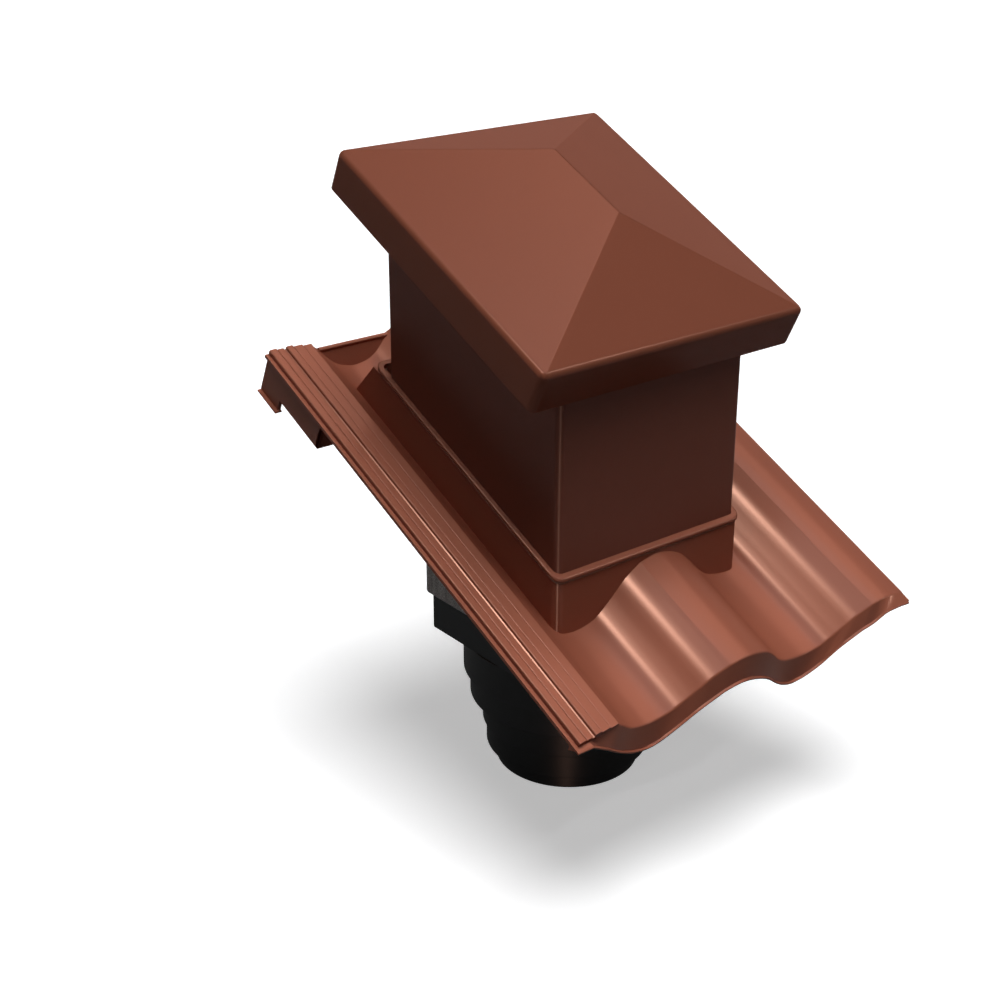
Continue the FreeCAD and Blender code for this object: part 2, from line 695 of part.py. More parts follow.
def main():
    """Builds every piece and writes each to its own file."""
    os.makedirs("parts", exist_ok=True)
    for name, make in PIECES.items():
        shape = make()
        shape.exportStep("parts/" + name + ".step")
        print(name, len(shape.Solids), round(shape.Volume), shape.isValid())


main()
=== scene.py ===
"""Roof tile vent: terracotta plastic tile, box and hipped cap over a black duct spigot."""

import logging
import math
from collections.abc import Callable, Iterable, Sequence
from dataclasses import dataclass
from enum import Enum

import bmesh
import bpy
from mathutils import Matrix, Vector

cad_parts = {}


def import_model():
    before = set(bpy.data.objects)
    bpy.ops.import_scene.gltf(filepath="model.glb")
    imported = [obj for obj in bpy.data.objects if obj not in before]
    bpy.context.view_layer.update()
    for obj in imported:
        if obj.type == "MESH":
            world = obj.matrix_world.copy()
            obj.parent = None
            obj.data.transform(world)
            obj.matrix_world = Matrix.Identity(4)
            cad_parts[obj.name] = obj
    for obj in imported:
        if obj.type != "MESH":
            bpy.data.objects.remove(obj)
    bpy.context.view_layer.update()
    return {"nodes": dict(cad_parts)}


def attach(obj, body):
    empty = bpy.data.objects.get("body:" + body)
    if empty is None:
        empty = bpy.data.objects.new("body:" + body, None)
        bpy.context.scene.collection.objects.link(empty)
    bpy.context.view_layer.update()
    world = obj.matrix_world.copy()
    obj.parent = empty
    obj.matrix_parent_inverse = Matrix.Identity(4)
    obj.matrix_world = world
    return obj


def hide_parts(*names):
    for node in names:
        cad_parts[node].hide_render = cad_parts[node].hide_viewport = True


LOG = logging.getLogger("roof_tile_vent")
MM = 0.001
BODY = "root"
FAR = 0.6
CLEAR = 0.05
WELD = 0.000002
NEAR = 0.00001
ARRIS = 0.0003
STEEP = 0.999
SHARP = 1.0
EDGE_STRIPS = 2
CORNER_STRIPS = 8
UP = Vector((0.0, 0.0, 1.0))
WHITE = (1.0, 1.0, 1.0, 1.0)
COLOUR_A, COLOUR_B, COLOUR_MIX = 6, 7, 2

ROOF_PITCH = math.radians(25.0)
NOSE_CORNER = Vector((-0.1454, -0.1782, 0.139))
ROOF = Matrix.Translation(NOSE_CORNER) @ Matrix.Rotation(ROOF_PITCH, 4, "X")
ROOF_NORMAL = Vector((0.0, -math.sin(ROOF_PITCH), math.cos(ROOF_PITCH)))
VENT_AXIS_U = 0.1454

BOX_WIDTH = 0.1676
BOX_FRONT = -0.0827
BOX_BACK = 0.1096
BOX_CORNER = 0.005
DECK_TOP = 0.017
BEAD_TOP = 0.0218
SPIGOT_LENGTH = 0.106
COLLAR_HALF = 0.079
COLLAR_REACH = 0.0673
COLLAR_CORNER = 0.003

Point = tuple[float, float]
Triple = tuple[float, float, float]
Socket = bpy.types.NodeSocket
Edge = bmesh.types.BMEdge
EdgeTest = Callable[[Edge], bool]


class Slot(Enum):
    """Material slots of the part."""

    TERRACOTTA = "terracotta_plastic"
    BLACK = "black_plastic"
    FOAM = "grey_foam"
    STEEL = "screw_steel"


class Keep(Enum):
    """Which side of a cutting plane stays on the workpiece."""

    ABOVE = "above"
    BELOW = "below"


class Carve(Enum):
    """How one piece works on another."""

    AWAY = "DIFFERENCE"
    COMMON = "INTERSECT"


def every_edge(edge: Edge) -> bool:
    """Chooses each edge."""
    return True


@dataclass(frozen=True)
class Wiring:
    """Node tree with short ways to add, set and link its nodes."""

    tree: bpy.types.NodeTree

    def feed(self, node: bpy.types.Node, inputs: dict[str | int, object]) -> None:
        """Feeds inputs of a node.

        Args:
            node: The node.
            inputs: Socket to link or value to set, by name or number of the input.
        """
        for key, source in inputs.items():
            if isinstance(source, Socket):
                self.tree.links.new(source, node.inputs[key])
            else:
                node.inputs[key].default_value = source

    def add(self, kind: str, inputs: dict[str | int, object], **settings: object) -> bpy.types.Node:
        """Adds a node and feeds it.

        Args:
            kind: Kind of the node, without its ShaderNode prefix.
            inputs: Sockets and values for its inputs.
            **settings: Its other settings.

        Returns:
            The node.
        """
        node = self.tree.nodes.new("ShaderNode" + kind)
        for name, value in settings.items():
            setattr(node, name, value)
        self.feed(node, inputs)
        return node

    def math(self, operation: str, *terms: object) -> Socket:
        """Adds a math node that works on sockets and values, and returns its result."""
        return self.add("Math", dict(enumerate(terms)), operation=operation).outputs[0]

    def mix(self, factor: Socket, low: object, high: object) -> Socket:
        """Adds a mix of two colours, and returns its result."""
        tones = {"Factor": factor, COLOUR_A: low, COLOUR_B: high}
        return self.add("Mix", tones, data_type="RGBA").outputs[COLOUR_MIX]

    def noise(self, place: Socket, scale: object, detail: float) -> Socket:
        """Adds a noise texture, and returns its value."""
        look = {"Vector": place, "Detail": detail, "Scale": scale}
        return self.add("TexNoise", look).outputs["Fac"]


@dataclass(frozen=True)
class MouldGrain:
    """Node group for the fine grain and slow unevenness of a moulded skin."""

    name: str = "mould_grain"
    inputs: tuple[tuple[str, str], ...] = (
        ("Base", "Color"), ("Shade", "Color"),
        ("Grain Scale", "Float"), ("Roughness", "Float"), ("Spread", "Float"),
    )
    outputs: tuple[tuple[str, str], ...] = (
        ("Colour", "Color"), ("Rough", "Float"), ("Height", "Float"),
    )
    grain_detail: float = 3.0
    cloud_detail: float = 4.0
    cloud_scale: float = 14.0
    grain_share: float = 0.55
    cloud_share: float = 0.45
    middle: float = 0.5

    def build(self) -> bpy.types.NodeTree:
        """Builds the group once.

        Returns:
            The node group.
        """
        known = bpy.data.node_groups.get(self.name)
        if known:
            return known
        group = bpy.data.node_groups.new(self.name, "ShaderNodeTree")
        for way, sockets in (("INPUT", self.inputs), ("OUTPUT", self.outputs)):
            for name, kind in sockets:
                group.interface.new_socket(name, in_out=way, socket_type="NodeSocket" + kind)
        source = group.nodes.new("NodeGroupInput").outputs
        sink = group.nodes.new("NodeGroupOutput")
        wiring = Wiring(group)
        place = wiring.add("TexCoord", {}).outputs["Object"]
        grain = wiring.noise(place, source["Grain Scale"], self.grain_detail)
        cloud = wiring.noise(place, self.cloud_scale, self.cloud_detail)
        slow = wiring.math("MULTIPLY", cloud, self.cloud_share)
        blend = wiring.math("MULTIPLY_ADD", grain, self.grain_share, slow)
        colour = wiring.mix(blend, source["Base"], source["Shade"])
        offset = wiring.math("SUBTRACT", blend, self.middle)
        rough = wiring.math("MULTIPLY_ADD", offset, source["Spread"], source["Roughness"])
        wiring.feed(sink, {"Colour": colour, "Rough": rough, "Height": grain})
        return group


@dataclass(frozen=True)
class Finish:
    """Finish of a material slot."""

    name: str
    slot: Slot

    def wire(self, wiring: Wiring, shader: bpy.types.Node) -> None:
        """Adds the nodes of the finish to its Principled shader."""
        raise NotImplementedError

    def material(self) -> bpy.types.Material:
        """Builds the finish once.

        Returns:
            The material.
        """
        known = bpy.data.materials.get(self.name)
        if known:
            return known
        material = bpy.data.materials.new(self.name)
        material.use_nodes = True
        self.wire(Wiring(material.node_tree), material.node_tree.nodes["Principled BSDF"])
        return material


@dataclass(frozen=True)
class GrainFinish(Finish):
    """Finish with the mould grain in two tones."""

    base: Triple
    shade: Triple
    roughness: float
    spread: float = 0.04
    grain_scale: float = 1500.0

    def skin(self, wiring: Wiring) -> bpy.types.Node:
        """Adds the grain's group with the values of this finish.

        Args:
            wiring: Node tree of the material.

        Returns:
            The group's node.
        """
        look = {
            "Base": (*self.base, 1.0),
            "Shade": (*self.shade, 1.0),
            "Grain Scale": self.grain_scale,
            "Roughness": self.roughness,
            "Spread": self.spread,
        }
        return wiring.add("Group", look, node_tree=MouldGrain().build())


@dataclass(frozen=True)
class PlasticFinish(GrainFinish):
    """Moulded plastic with a fine grain."""

    gloss: float = 0.12
    grain_depth: float = 0.000015

    def wire(self, wiring: Wiring, shader: bpy.types.Node) -> None:
        """Adds the grain under a thin gloss.

        Args:
            wiring: Node tree of the material.
            shader: Its Principled shader.
        """
        skin = self.skin(wiring).outputs
        bump = wiring.add("Bump", {"Distance": self.grain_depth, "Height": skin["Height"]})
        inputs = {
            "Specular IOR Level": 0.0,
            "Coat Weight": self.gloss,
            "Coat Roughness": skin["Rough"],
            "Coat Normal": bump.outputs["Normal"],
            "Base Color": skin["Colour"],
            "Roughness": skin["Rough"],
            "Normal": bump.outputs["Normal"],
        }
        wiring.feed(shader, inputs)


@dataclass(frozen=True)
class FoamFinish(Finish):
    """Open-cell sealing foam with upright streaks from the cutting wire."""

    light: Triple
    dark: Triple
    ramp: Point = (0.08, 0.42)
    cell_scale: float = 900.0
    streak_scale: float = 260.0
    streak_detail: float = 5.0
    stretch: Triple = (1.0, 1.0, 0.06)
    depth: float = 0.0006
    roughness: float = 0.95
    sheen: float = 0.1

    def wire(self, wiring: Wiring, shader: bpy.types.Node) -> None:
        """Adds the cells and the streaks.

        Args:
            wiring: Node tree of the material.
            shader: Its Principled shader.
        """
        place = wiring.add("TexCoord", {}).outputs["Object"]
        cells = wiring.add("TexVoronoi", {"Scale": self.cell_scale, "Vector": place})
        path = wiring.add("Mapping", {"Scale": self.stretch, "Vector": place}).outputs["Vector"]
        streaks = wiring.noise(path, self.streak_scale, self.streak_detail)
        both = wiring.math("MULTIPLY", cells.outputs["Distance"], streaks)
        ramp = wiring.add("ValToRGB", {"Fac": both})
        stops = zip(ramp.color_ramp.elements, self.ramp, (self.dark, self.light))
        for stop, share, colour in stops:
            stop.position = share
            stop.color = (*colour, 1.0)
        bump = wiring.add("Bump", {"Distance": self.depth, "Height": both})
        inputs = {
            "Roughness": self.roughness,
            "Specular IOR Level": self.sheen,
            "Base Color": ramp.outputs["Color"],
            "Normal": bump.outputs["Normal"],
        }
        wiring.feed(shader, inputs)


@dataclass(frozen=True)
class SteelFinish(GrainFinish):
    """Zinc-plated screw steel."""

    def wire(self, wiring: Wiring, shader: bpy.types.Node) -> None:
        """Adds the grain on bare metal.

        Args:
            wiring: Node tree of the material.
            shader: Its Principled shader.
        """
        skin = self.skin(wiring).outputs
        inputs = {"Metallic": 1.0, "Base Color": skin["Colour"], "Roughness": skin["Rough"]}
        wiring.feed(shader, inputs)


# The tile, cap and box share one terracotta plastic. Their three base tones differ only as painted
# light and shade: the tile's is the lightest, and the cap's and the box's are darker copies.
TERRACOTTA = PlasticFinish(
    name="terracotta_moulding",
    slot=Slot.TERRACOTTA,
    base=(0.325, 0.102, 0.061),
    shade=(0.295, 0.091, 0.053),
    roughness=0.25,
)
# Cap's copy: the same terracotta with painted shade, darker than the tile's.
TERRACOTTA_CAP_PAINTED_SHADE = PlasticFinish(
    name="terracotta_cap_painted_shade",
    slot=Slot.TERRACOTTA,
    base=(0.255, 0.077, 0.044),
    shade=(0.228, 0.068, 0.038),
    roughness=0.26,
    gloss=0.09,
)
# Box's copy: the same terracotta with deeper painted shade than the cap's; the grille under the cap
# takes it too.
TERRACOTTA_BOX_PAINTED_SHADE = PlasticFinish(
    name="terracotta_box_painted_shade",
    slot=Slot.TERRACOTTA,
    base=(0.225, 0.070, 0.044),
    shade=(0.200, 0.061, 0.038),
    roughness=0.30,
    spread=0.06,
    grain_depth=0.00002,
)
BLACK = PlasticFinish(
    name="black_moulding",
    slot=Slot.BLACK,
    base=(0.0260, 0.0270, 0.0280),
    shade=(0.0190, 0.0200, 0.0210),
    roughness=0.38,
    spread=0.12,
    grain_depth=0.00003,
    gloss=0.09,
)
FOAM = FoamFinish(
    name="sealing_foam",
    slot=Slot.FOAM,
    light=(0.800, 0.790, 0.780),
    dark=(0.400, 0.390, 0.385),
)
STEEL = SteelFinish(
    name="zinc_steel",
    slot=Slot.STEEL,
    base=(0.62, 0.62, 0.60),
    shade=(0.40, 0.41, 0.42),
    roughness=0.32,
    spread=0.2,
    grain_scale=2500.0,
)


class Workpiece:
    """A mesh object that is shaped by operators, as on a bench."""

    def __init__(self, obj: bpy.types.Object, name: str) -> None:
        """Takes a new object under its final name.

        Args:
            obj: The object.
            name: Its final name.
        """
        self.obj = obj
        obj.name = name
        obj.data.name = name
        self.hold()

    def hold(self) -> None:
        """Makes this piece the only selected and active one."""
        if bpy.context.mode != "OBJECT":
            bpy.ops.object.mode_set(mode="OBJECT")
        bpy.ops.object.select_all(action="DESELECT")
        self.obj.select_set(True)
        bpy.context.view_layer.objects.active = self.obj

    @classmethod
    def block(cls, name: str, low: Vector, high: Vector) -> "Workpiece":
        """Adds a block between two corners.

        Args:
            name: Name of the piece.
            low: Lowest corner.
            high: Highest corner.

        Returns:
            The new piece.
        """
        bpy.ops.object.select_all(action="DESELECT")
        bpy.ops.mesh.primitive_cube_add(size=1.0, location=(low + high) / 2, scale=high - low)
        piece = cls(bpy.context.object, name)
        bpy.ops.object.transform_apply(location=True, rotation=True, scale=True)
        return piece

    @classmethod
    def rod(cls, name: str, foot: Vector, radius: float, length: float, sides: int) -> "Workpiece":
        """Adds an upright rod.

        Args:
            name: Name of the piece.
            foot: Centre of its lower end.
            radius: Radius.
            length: Length.
            sides: Number of sides.

        Returns:
            The new piece.
        """
        bpy.ops.object.select_all(action="DESELECT")
        middle = foot + Vector((0.0, 0.0, length / 2))
        bpy.ops.mesh.primitive_cylinder_add(
            vertices=sides, radius=radius, depth=length, location=middle
        )
        piece = cls(bpy.context.object, name)
        bpy.ops.object.transform_apply(location=True, rotation=True, scale=True)
        return piece

    @classmethod
    def wire(cls, name: str, points: Sequence[Vector]) -> "Workpiece":
        """Draws a line through points by extruding one vertex along them.

        Args:
            name: Name of the piece.
            points: Points of the line.

        Returns:
            The new piece.
        """
        bpy.ops.object.select_all(action="DESELECT")
        bpy.ops.mesh.primitive_plane_add(size=MM, location=points[0])
        piece = cls(bpy.context.object, name)
        bpy.ops.object.mode_set(mode="EDIT")
        bpy.ops.mesh.select_mode(type="VERT")
        bpy.ops.mesh.select_all(action="SELECT")
        bpy.ops.mesh.merge(type="CENTER")
        for start, end in zip(points, points[1:]):
            bpy.ops.mesh.extrude_region_move(TRANSFORM_OT_translate={"value": end - start})
        bpy.ops.object.mode_set(mode="OBJECT")
        bpy.ops.object.transform_apply(location=True, rotation=True, scale=True)
        return piece

    @classmethod
    def skin(cls, name: str, rings: Sequence[Sequence[Vector]]) -> "Workpiece":
        """Bridges a row of lines with the same count of points and closes the ends.

        Args:
            name: Name of the piece.
            rings: Lines from one end to the other.

        Returns:
            The new piece.
        """
        wires = [cls.wire("ring", ring) for ring in rings]
        bands = []
        for first, second in zip(wires, wires[1:]):
            band = first.twin("band")
            band.join([second.twin("band")])
            band.edit(lambda: bpy.ops.mesh.bridge_edge_loops(type="SINGLE"))
            bands.append(band)
        for wire in wires:
            wire.discard()
        piece = cls(bands[0].obj, name)
        piece.join(bands[1:])
        piece.weld(WELD)
        piece.edit(lambda: bpy.ops.mesh.fill_holes(sides=0), lambda edge: edge.is_boundary)
        piece.outward()
        return piece

    @classmethod
    def prism(cls, name: str, outline: Sequence[Point], ends: Point, axis: int) -> "Workpiece":
        """Stretches an outline along an axis.

        Args:
            name: Name of the piece.
            outline: Corners of the outline on the other two axes.
            ends: Places of the two ends.
            axis: Number of the axis.

        Returns:
            The new piece.
        """
        closed = [*outline, outline[0]]
        rings = [[Vector((*at[:axis], end, *at[axis:])) for at in closed] for end in ends]
        return cls.skin(name, rings)

    def twin(self, name: str) -> "Workpiece":
        """Copies this piece with its own mesh.

        Args:
            name: Name of the copy.

        Returns:
            The copy.
        """
        copy = bpy.data.objects.new(name, self.obj.data.copy())
        bpy.context.scene.collection.objects.link(copy)
        return Workpiece(copy, name)

    def discard(self) -> None:
        """Takes this piece off the bench."""
        mesh = self.obj.data
        bpy.data.objects.remove(self.obj)
        bpy.data.meshes.remove(mesh)

    def edit(self, work: Callable[[], object], choose: EdgeTest = every_edge) -> None:
        """Runs an operator on the chosen edges in edit mode.

        Args:
            work: Calls the operator.
            choose: Says whether an edge is selected.
        """
        self.hold()
        bpy.ops.object.mode_set(mode="EDIT")
        bpy.ops.mesh.select_mode(type="EDGE")
        bpy.ops.mesh.select_all(action="DESELECT")
        mesh = bmesh.from_edit_mesh(self.obj.data)
        for edge in mesh.edges:
            if choose(edge):
                edge.select_set(True)
        mesh.select_flush_mode()
        bmesh.update_edit_mesh(self.obj.data)
        work()
        bpy.ops.object.mode_set(mode="OBJECT")

    def weld(self, reach: float) -> None:
        """Merges points that lie closer together than a reach."""
        self.edit(lambda: bpy.ops.mesh.remove_doubles(threshold=reach))

    def bevel(self, choose: EdgeTest, width: float, segments: int) -> None:
        """Rounds the chosen edges.

        Args:
            choose: Says whether an edge is rounded.
            width: Offset of the rounding from the edge.
            segments: Number of strips across it.
        """
        self.edit(
            lambda: bpy.ops.mesh.bevel(
                offset_type="OFFSET", offset=width, segments=segments, affect="EDGES"
            ),
            choose,
        )

    def cut(self, point: Vector, normal: Vector, keep: Keep) -> None:
        """Cuts the piece with a plane.

        Args:
            point: Point on the plane.
            normal: Normal of the plane.
            keep: Side that stays.
        """
        self.edit(
            lambda: bpy.ops.mesh.bisect(
                plane_co=point,
                plane_no=normal,
                use_fill=True,
                clear_inner=keep is Keep.ABOVE,
                clear_outer=keep is Keep.BELOW,
                threshold=WELD / 2,
            )
        )

    def modify(self, kind: str, **settings: object) -> None:
        """Adds a modifier and applies it.

        Args:
            kind: Blender's name of the modifier.
            **settings: Its settings.
        """
        self.hold()
        modifier = self.obj.modifiers.new(kind.lower(), kind)
        for name, value in settings.items():
            setattr(modifier, name, value)
        bpy.ops.object.modifier_apply(modifier=modifier.name)

    def carve(self, tool: "Workpiece", how: Carve = Carve.AWAY) -> None:
        """Takes the solid of another piece away from this one, or keeps the common part."""
        self.modify("BOOLEAN", object=tool.obj, operation=how.value, solver="EXACT")

    def place(self, matrix: Matrix) -> None:
        """Moves the piece by a matrix and keeps its object at the origin.

        Args:
            matrix: The move.
        """
        self.hold()
        self.obj.matrix_world = matrix
        bpy.ops.object.transform_apply(location=True, rotation=True, scale=True)

    def join(self, others: Iterable["Workpiece"]) -> None:
        """Joins other pieces into this one.

        Args:
            others: The other pieces.
        """
        self.hold()
        for other in others:
            other.obj.select_set(True)
        bpy.context.view_layer.objects.active = self.obj
        bpy.ops.object.join()

    def outward(self) -> None:
        """Turns every face outwards."""
        self.edit(lambda: bpy.ops.mesh.normals_make_consistent(inside=False))

    def smooth(self, degrees: float) -> None:
        """Shades smoothly across edges flatter than an angle, while large faces stay flat.

        Args:
            degrees: The angle.
        """
        self.hold()
        bpy.ops.object.shade_smooth_by_angle(angle=math.radians(degrees), keep_sharp_edges=True)
        self.modify("WEIGHTED_NORMAL", keep_sharp=True)

    def finish(self, finish: Finish, *nodes: str) -> None:
        """Dresses the piece and lets it stand for nodes of the frame.

        Args:
            finish: Its finish.
            *nodes: Nodes that it stands for.
        """
        self.obj.data.materials.clear()
        self.obj.data.materials.append(finish.material())
        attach(self.obj, BODY)
        if nodes:
            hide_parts(*nodes)
        LOG.info("%s: %d faces", self.obj.name, len(self.obj.data.polygons))


def upright_edge(edge: Edge) -> bool:
    """Whether an edge runs along Z."""
    run = edge.verts[1].co - edge.verts[0].co
    return abs(run.normalized().z) > STEEP


def deck_plane(height: float) -> Vector:
    """Point on the plane that lies at a height above the roof plane."""
    return NOSE_CORNER + ROOF_NORMAL * height


def roof_height(y: float, n: float) -> float:
    """Height Z of the plane n above the roof plane, at the level distance y."""
    rise = (y - NOSE_CORNER.y) * math.tan(ROOF_PITCH)
    return NOSE_CORNER.z + rise + n / math.cos(ROOF_PITCH)


def upright_block(name: str, half: float, front: float, back: float, corner: float) -> Workpiece:
    """Makes a tall upright block with rounded corners.

    Args:
        name: Name of the piece.
        half: Half of its width.
        front: Its front face's place on Y.
        back: Its back face's place on Y.
        corner: Radius of its upright corners.

    Returns:
        The block.
    """
    piece = Workpiece.block(name, Vector((-half, front, CLEAR)), Vector((half, back, FAR)))
    piece.bevel(upright_edge, corner, CORNER_STRIPS)
    return piece


def collar_block(name: str, grow: float) -> Workpiece:
    """Makes an upright block of the collar's outline, grown on all sides."""
    reach = COLLAR_REACH + grow
    return upright_block(name, COLLAR_HALF + grow, -reach, reach, COLLAR_CORNER + grow)


def between_planes(piece: Workpiece, low: float, high: float) -> None:
    """Cuts a piece down to what lies between two heights above the roof plane."""
    piece.cut(deck_plane(low), ROOF_NORMAL, Keep.ABOVE)
    piece.cut(deck_plane(high), ROOF_NORMAL, Keep.BELOW)


def smooth_line(points: Sequence[Point], steps: int) -> list[Point]:
    """Fills a line of points up to a smooth curve through them.

    Args:
        points: Points of the line.
        steps: Steps between two points.

    Returns:
        The curve's points without the last one.
    """
    if len(points) == 2:
        return [points[0]]
    first = tuple(2 * a - b for a, b in zip(points[0], points[1]))
    last = tuple(2 * a - b for a, b in zip(points[-1], points[-2]))
    path = [Vector(point) for point in (first, *points, last)]
    curve = []
    for index in range(1, len(path) - 2):
        before, start, end, after = path[index - 1 : index + 3]
        for step in range(steps):
            t = step / steps
            pull = (end - before) * t + (2 * before - 5 * start + 4 * end - after) * t * t
            pull += (3 * start - before - 3 * end + after) * t**3
            curve.append(tuple(start + pull * 0.5))
    return curve


@dataclass
class TilePan:
    """The moulded tile with rolls, nose, interlock strips and saddle."""

    length: float = 0.395
    wall: float = 0.0025
    steps: int = 4
    left_edge: tuple[Point, ...] = ((0.0, 0.2), (13.0, 0.2), (38.5, 0.2))
    first_wave: tuple[Point, ...] = (
        (46.6, -5.7), (56.6, -13.6), (66.0, -17.2), (78.0, -18.4), (93.5, -15.2),
        (107.4, -5.9), (120.9, 5.1), (135.0, 12.9),
    )
    second_wave: tuple[Point, ...] = (
        (135.0, 12.9), (149.0, 15.4), (161.3, 13.8), (173.3, 9.2), (183.8, 1.1), (194.5, -8.8),
        (205.1, -14.3), (223.0, -17.0), (240.0, -14.6), (253.0, -5.4), (266.0, 5.1), (279.0, 12.4),
    )
    last_roll: tuple[Point, ...] = (
        (279.0, 12.4), (286.0, 14.4), (292.0, 15.1), (299.0, 14.8), (306.0, 13.6), (313.0, 11.8),
    )
    lip_left_edge: tuple[Point, ...] = ((0.0, -1.4), (13.0, -1.6), (30.4, -13.5))
    lip_first_wave: tuple[Point, ...] = (
        (40.0, -21.0), (50.0, -27.5), (61.0, -33.0), (73.5, -35.8), (84.0, -33.8),
        (97.0, -25.6), (111.7, -14.2), (130.0, -3.6),
    )
    lip_second_wave: tuple[Point, ...] = (
        (130.0, -3.6), (142.0, -1.0), (153.0, -1.9), (165.8, -6.5), (178.0, -13.5),
        (191.0, -24.0), (202.6, -31.4), (213.5, -34.8), (226.0, -32.8), (238.5, -26.0),
        (251.0, -13.6), (268.4, -2.6),
    )
    lip_last_roll: tuple[Point, ...] = (
        (268.4, -2.6), (279.0, 0.9), (284.5, 5.2), (289.5, 8.6), (301.0, 9.4), (313.0, 8.4),
    )
    creases: tuple[float, ...] = (135.0, 279.0)
    nose_round: float = 1.8
    nose_lean: float = math.radians(66.0)
    nose_drop: float = 16.0
    nose_steps: int = 6
    lip_thick: float = 1.5
    lip_reach: float = 1.8
    lip_root: float = 3.2
    whole_front: float = 90.0
    whole_back: float = 357.0
    strips: tuple[tuple[float, float, float], ...] = (
        (2.9, 9.3, 3.8), (9.7, 15.6, 2.8), (17.3, 23.2, 3.8), (23.6, 32.0, 2.3), (32.4, 40.4, 0.9),
    )
    strip_round: float = 1.1
    strip_turns: tuple[float, ...] = (0.0, 30.0, 60.0, 90.0)
    strip_depth: float = 2.2
    strip_start: float = 4.0
    strip_slant: float = 0.1
    under_reach: float = 50.0
    crease_angle: float = 32.0

    def section(self, edge: tuple[Point, ...], *waves: tuple[Point, ...]) -> list[Point]:
        """Joins the stretches of a cross-section to one smooth line.

        Args:
            edge: Points of the left edge.
            *waves: Points of the stretches after it.

        Returns:
            The line's points.
        """
        stretches = (edge[:2], edge[1:], (edge[2], waves[0][0]), *waves)
        line = [point for part in stretches for point in smooth_line(part, self.steps)]
        return line + [waves[-1][-1]]

    def blend(self, share: float, drop: float, s: float) -> list[Vector]:
        """Line across the tile, part of the way from the upper face to the lip.

        Args:
            share: Share of the way to the lip.
            drop: How far the line is moved down, in millimetres.
            s: Distance from the nose's tip, in millimetres.

        Returns:
            The line's points in the roof plane.
        """
        upper = self.section(self.left_edge, self.first_wave, self.second_wave, self.last_roll)
        lower = self.section(
            self.lip_left_edge, self.lip_first_wave, self.lip_second_wave, self.lip_last_roll
        )
        line = [(a + share * (c - a), b + share * (d - b)) for (a, b), (c, d) in zip(upper, lower)]
        return [Vector((u, s, n - drop)) * MM for u, n in line]

    def rounding(self, step: int) -> tuple[float, float, float]:
        """One line of the nose's rounding.

        Args:
            step: Number of the line, from the level part.

        Returns:
            Its share of the way to the lip, its distance from the tip and its wall.
        """
        angle = self.nose_lean * step / self.nose_steps
        fall = self.nose_round * (1 - math.cos(self.nose_lean))
        start = self.lip_reach + self.nose_round * math.sin(self.nose_lean)
        start += (self.nose_drop - fall) / math.tan(self.nose_lean)
        share = self.nose_round * (1 - math.cos(angle)) / self.nose_drop
        return share, start - self.nose_round * math.sin(angle), self.wall / MM / math.cos(angle)

    def sheet(self) -> Workpiece:
        """Makes the rolled sheet with its nose and turned-out lip.

        Returns:
            The sheet.
        """
        end = self.length / MM
        rings = [self.blend(0.0, 0.0, s) for s in (end, self.whole_back, self.whole_front)]
        steps = range(self.nose_steps + 1)
        for share, s, _ in map(self.rounding, steps):
            rings.append(self.blend(share, 0.0, s))
        rings.append(self.blend(1.0, -self.lip_thick, self.lip_reach))
        rings.append(self.blend(1.0, -self.lip_thick, 0.0))
        rings.append(self.blend(1.0, 0.0, 0.0))
        rings.append(self.blend(1.0, 0.0, self.lip_root))
        for share, s, wall in map(self.rounding, reversed(steps)):
            rings.append(self.blend(share, wall, s))
        thick = self.wall / MM
        rings += [self.blend(0.0, thick, s) for s in (self.whole_front, self.whole_back, end)]
        rings.append(rings[0])
        sheet = Workpiece.skin("roof_tile", rings)

        def at_crease(edge: Edge) -> bool:
            """Whether an edge runs along a crease of the rolls."""
            places = [vert.co.x for vert in edge.verts]
            return any(all(abs(x - u * MM) < NEAR for x in places) for u in self.creases)

        sheet.edit(lambda: bpy.ops.mesh.mark_sharp(), at_crease)

        def at_lip(edge: Edge) -> bool:
            """Whether an edge runs along the tip of the lip."""
            first, second = (vert.co for vert in edge.verts)
            return max(abs(first.y), abs(second.y)) < NEAR < abs(first.x - second.x)

        sheet.bevel(at_lip, ARRIS, EDGE_STRIPS)
        return sheet

    def under(self) -> Workpiece:
        """Makes the block of all that lies below the middle of the sheet.

        Returns:
            The block.
        """
        rings = []
        for s in (-self.under_reach, self.length / MM + self.under_reach):
            line = self.blend(0.0, self.wall / MM / 2, s)
            corners = [Vector((line[-1].x, s * MM, -FAR)), Vector((line[0].x, s * MM, -FAR))]
            rings.append(line + corners + [line[0]])
        return Workpiece.skin("under_tile", rings)

    def interlock(self) -> Workpiece:
        """Makes the interlock strips, which end in a slant above the nose.

        Returns:
            The strips.
        """
        base = self.left_edge[0][1] - self.wall / MM / 2
        outline = [(self.strips[0][0], base)]
        turns = [math.radians(degrees) for degrees in self.strip_turns]
        radius = self.strip_round
        arc = [((1 - math.cos(turn)) * radius, (1 - math.sin(turn)) * radius) for turn in turns]
        for start, end, height in self.strips:
            floor = height - self.strip_depth
            rise = [(start + inward, height - down) for inward, down in arc]
            fall = [(end - inward, height - down) for inward, down in arc[::-1]]
            outline += [(start, floor), *rise, *fall, (end, floor)]
        outline += [(self.strips[-1][1], base), outline[0]]
        front = [(u, self.strip_start + self.strip_slant * u, n) for u, n in outline]
        back = [(u, self.length / MM, n) for u, n in outline]
        rings = [[Vector(point) * MM for point in end] for end in (front, back)]
        return Workpiece.skin("strips", rings)

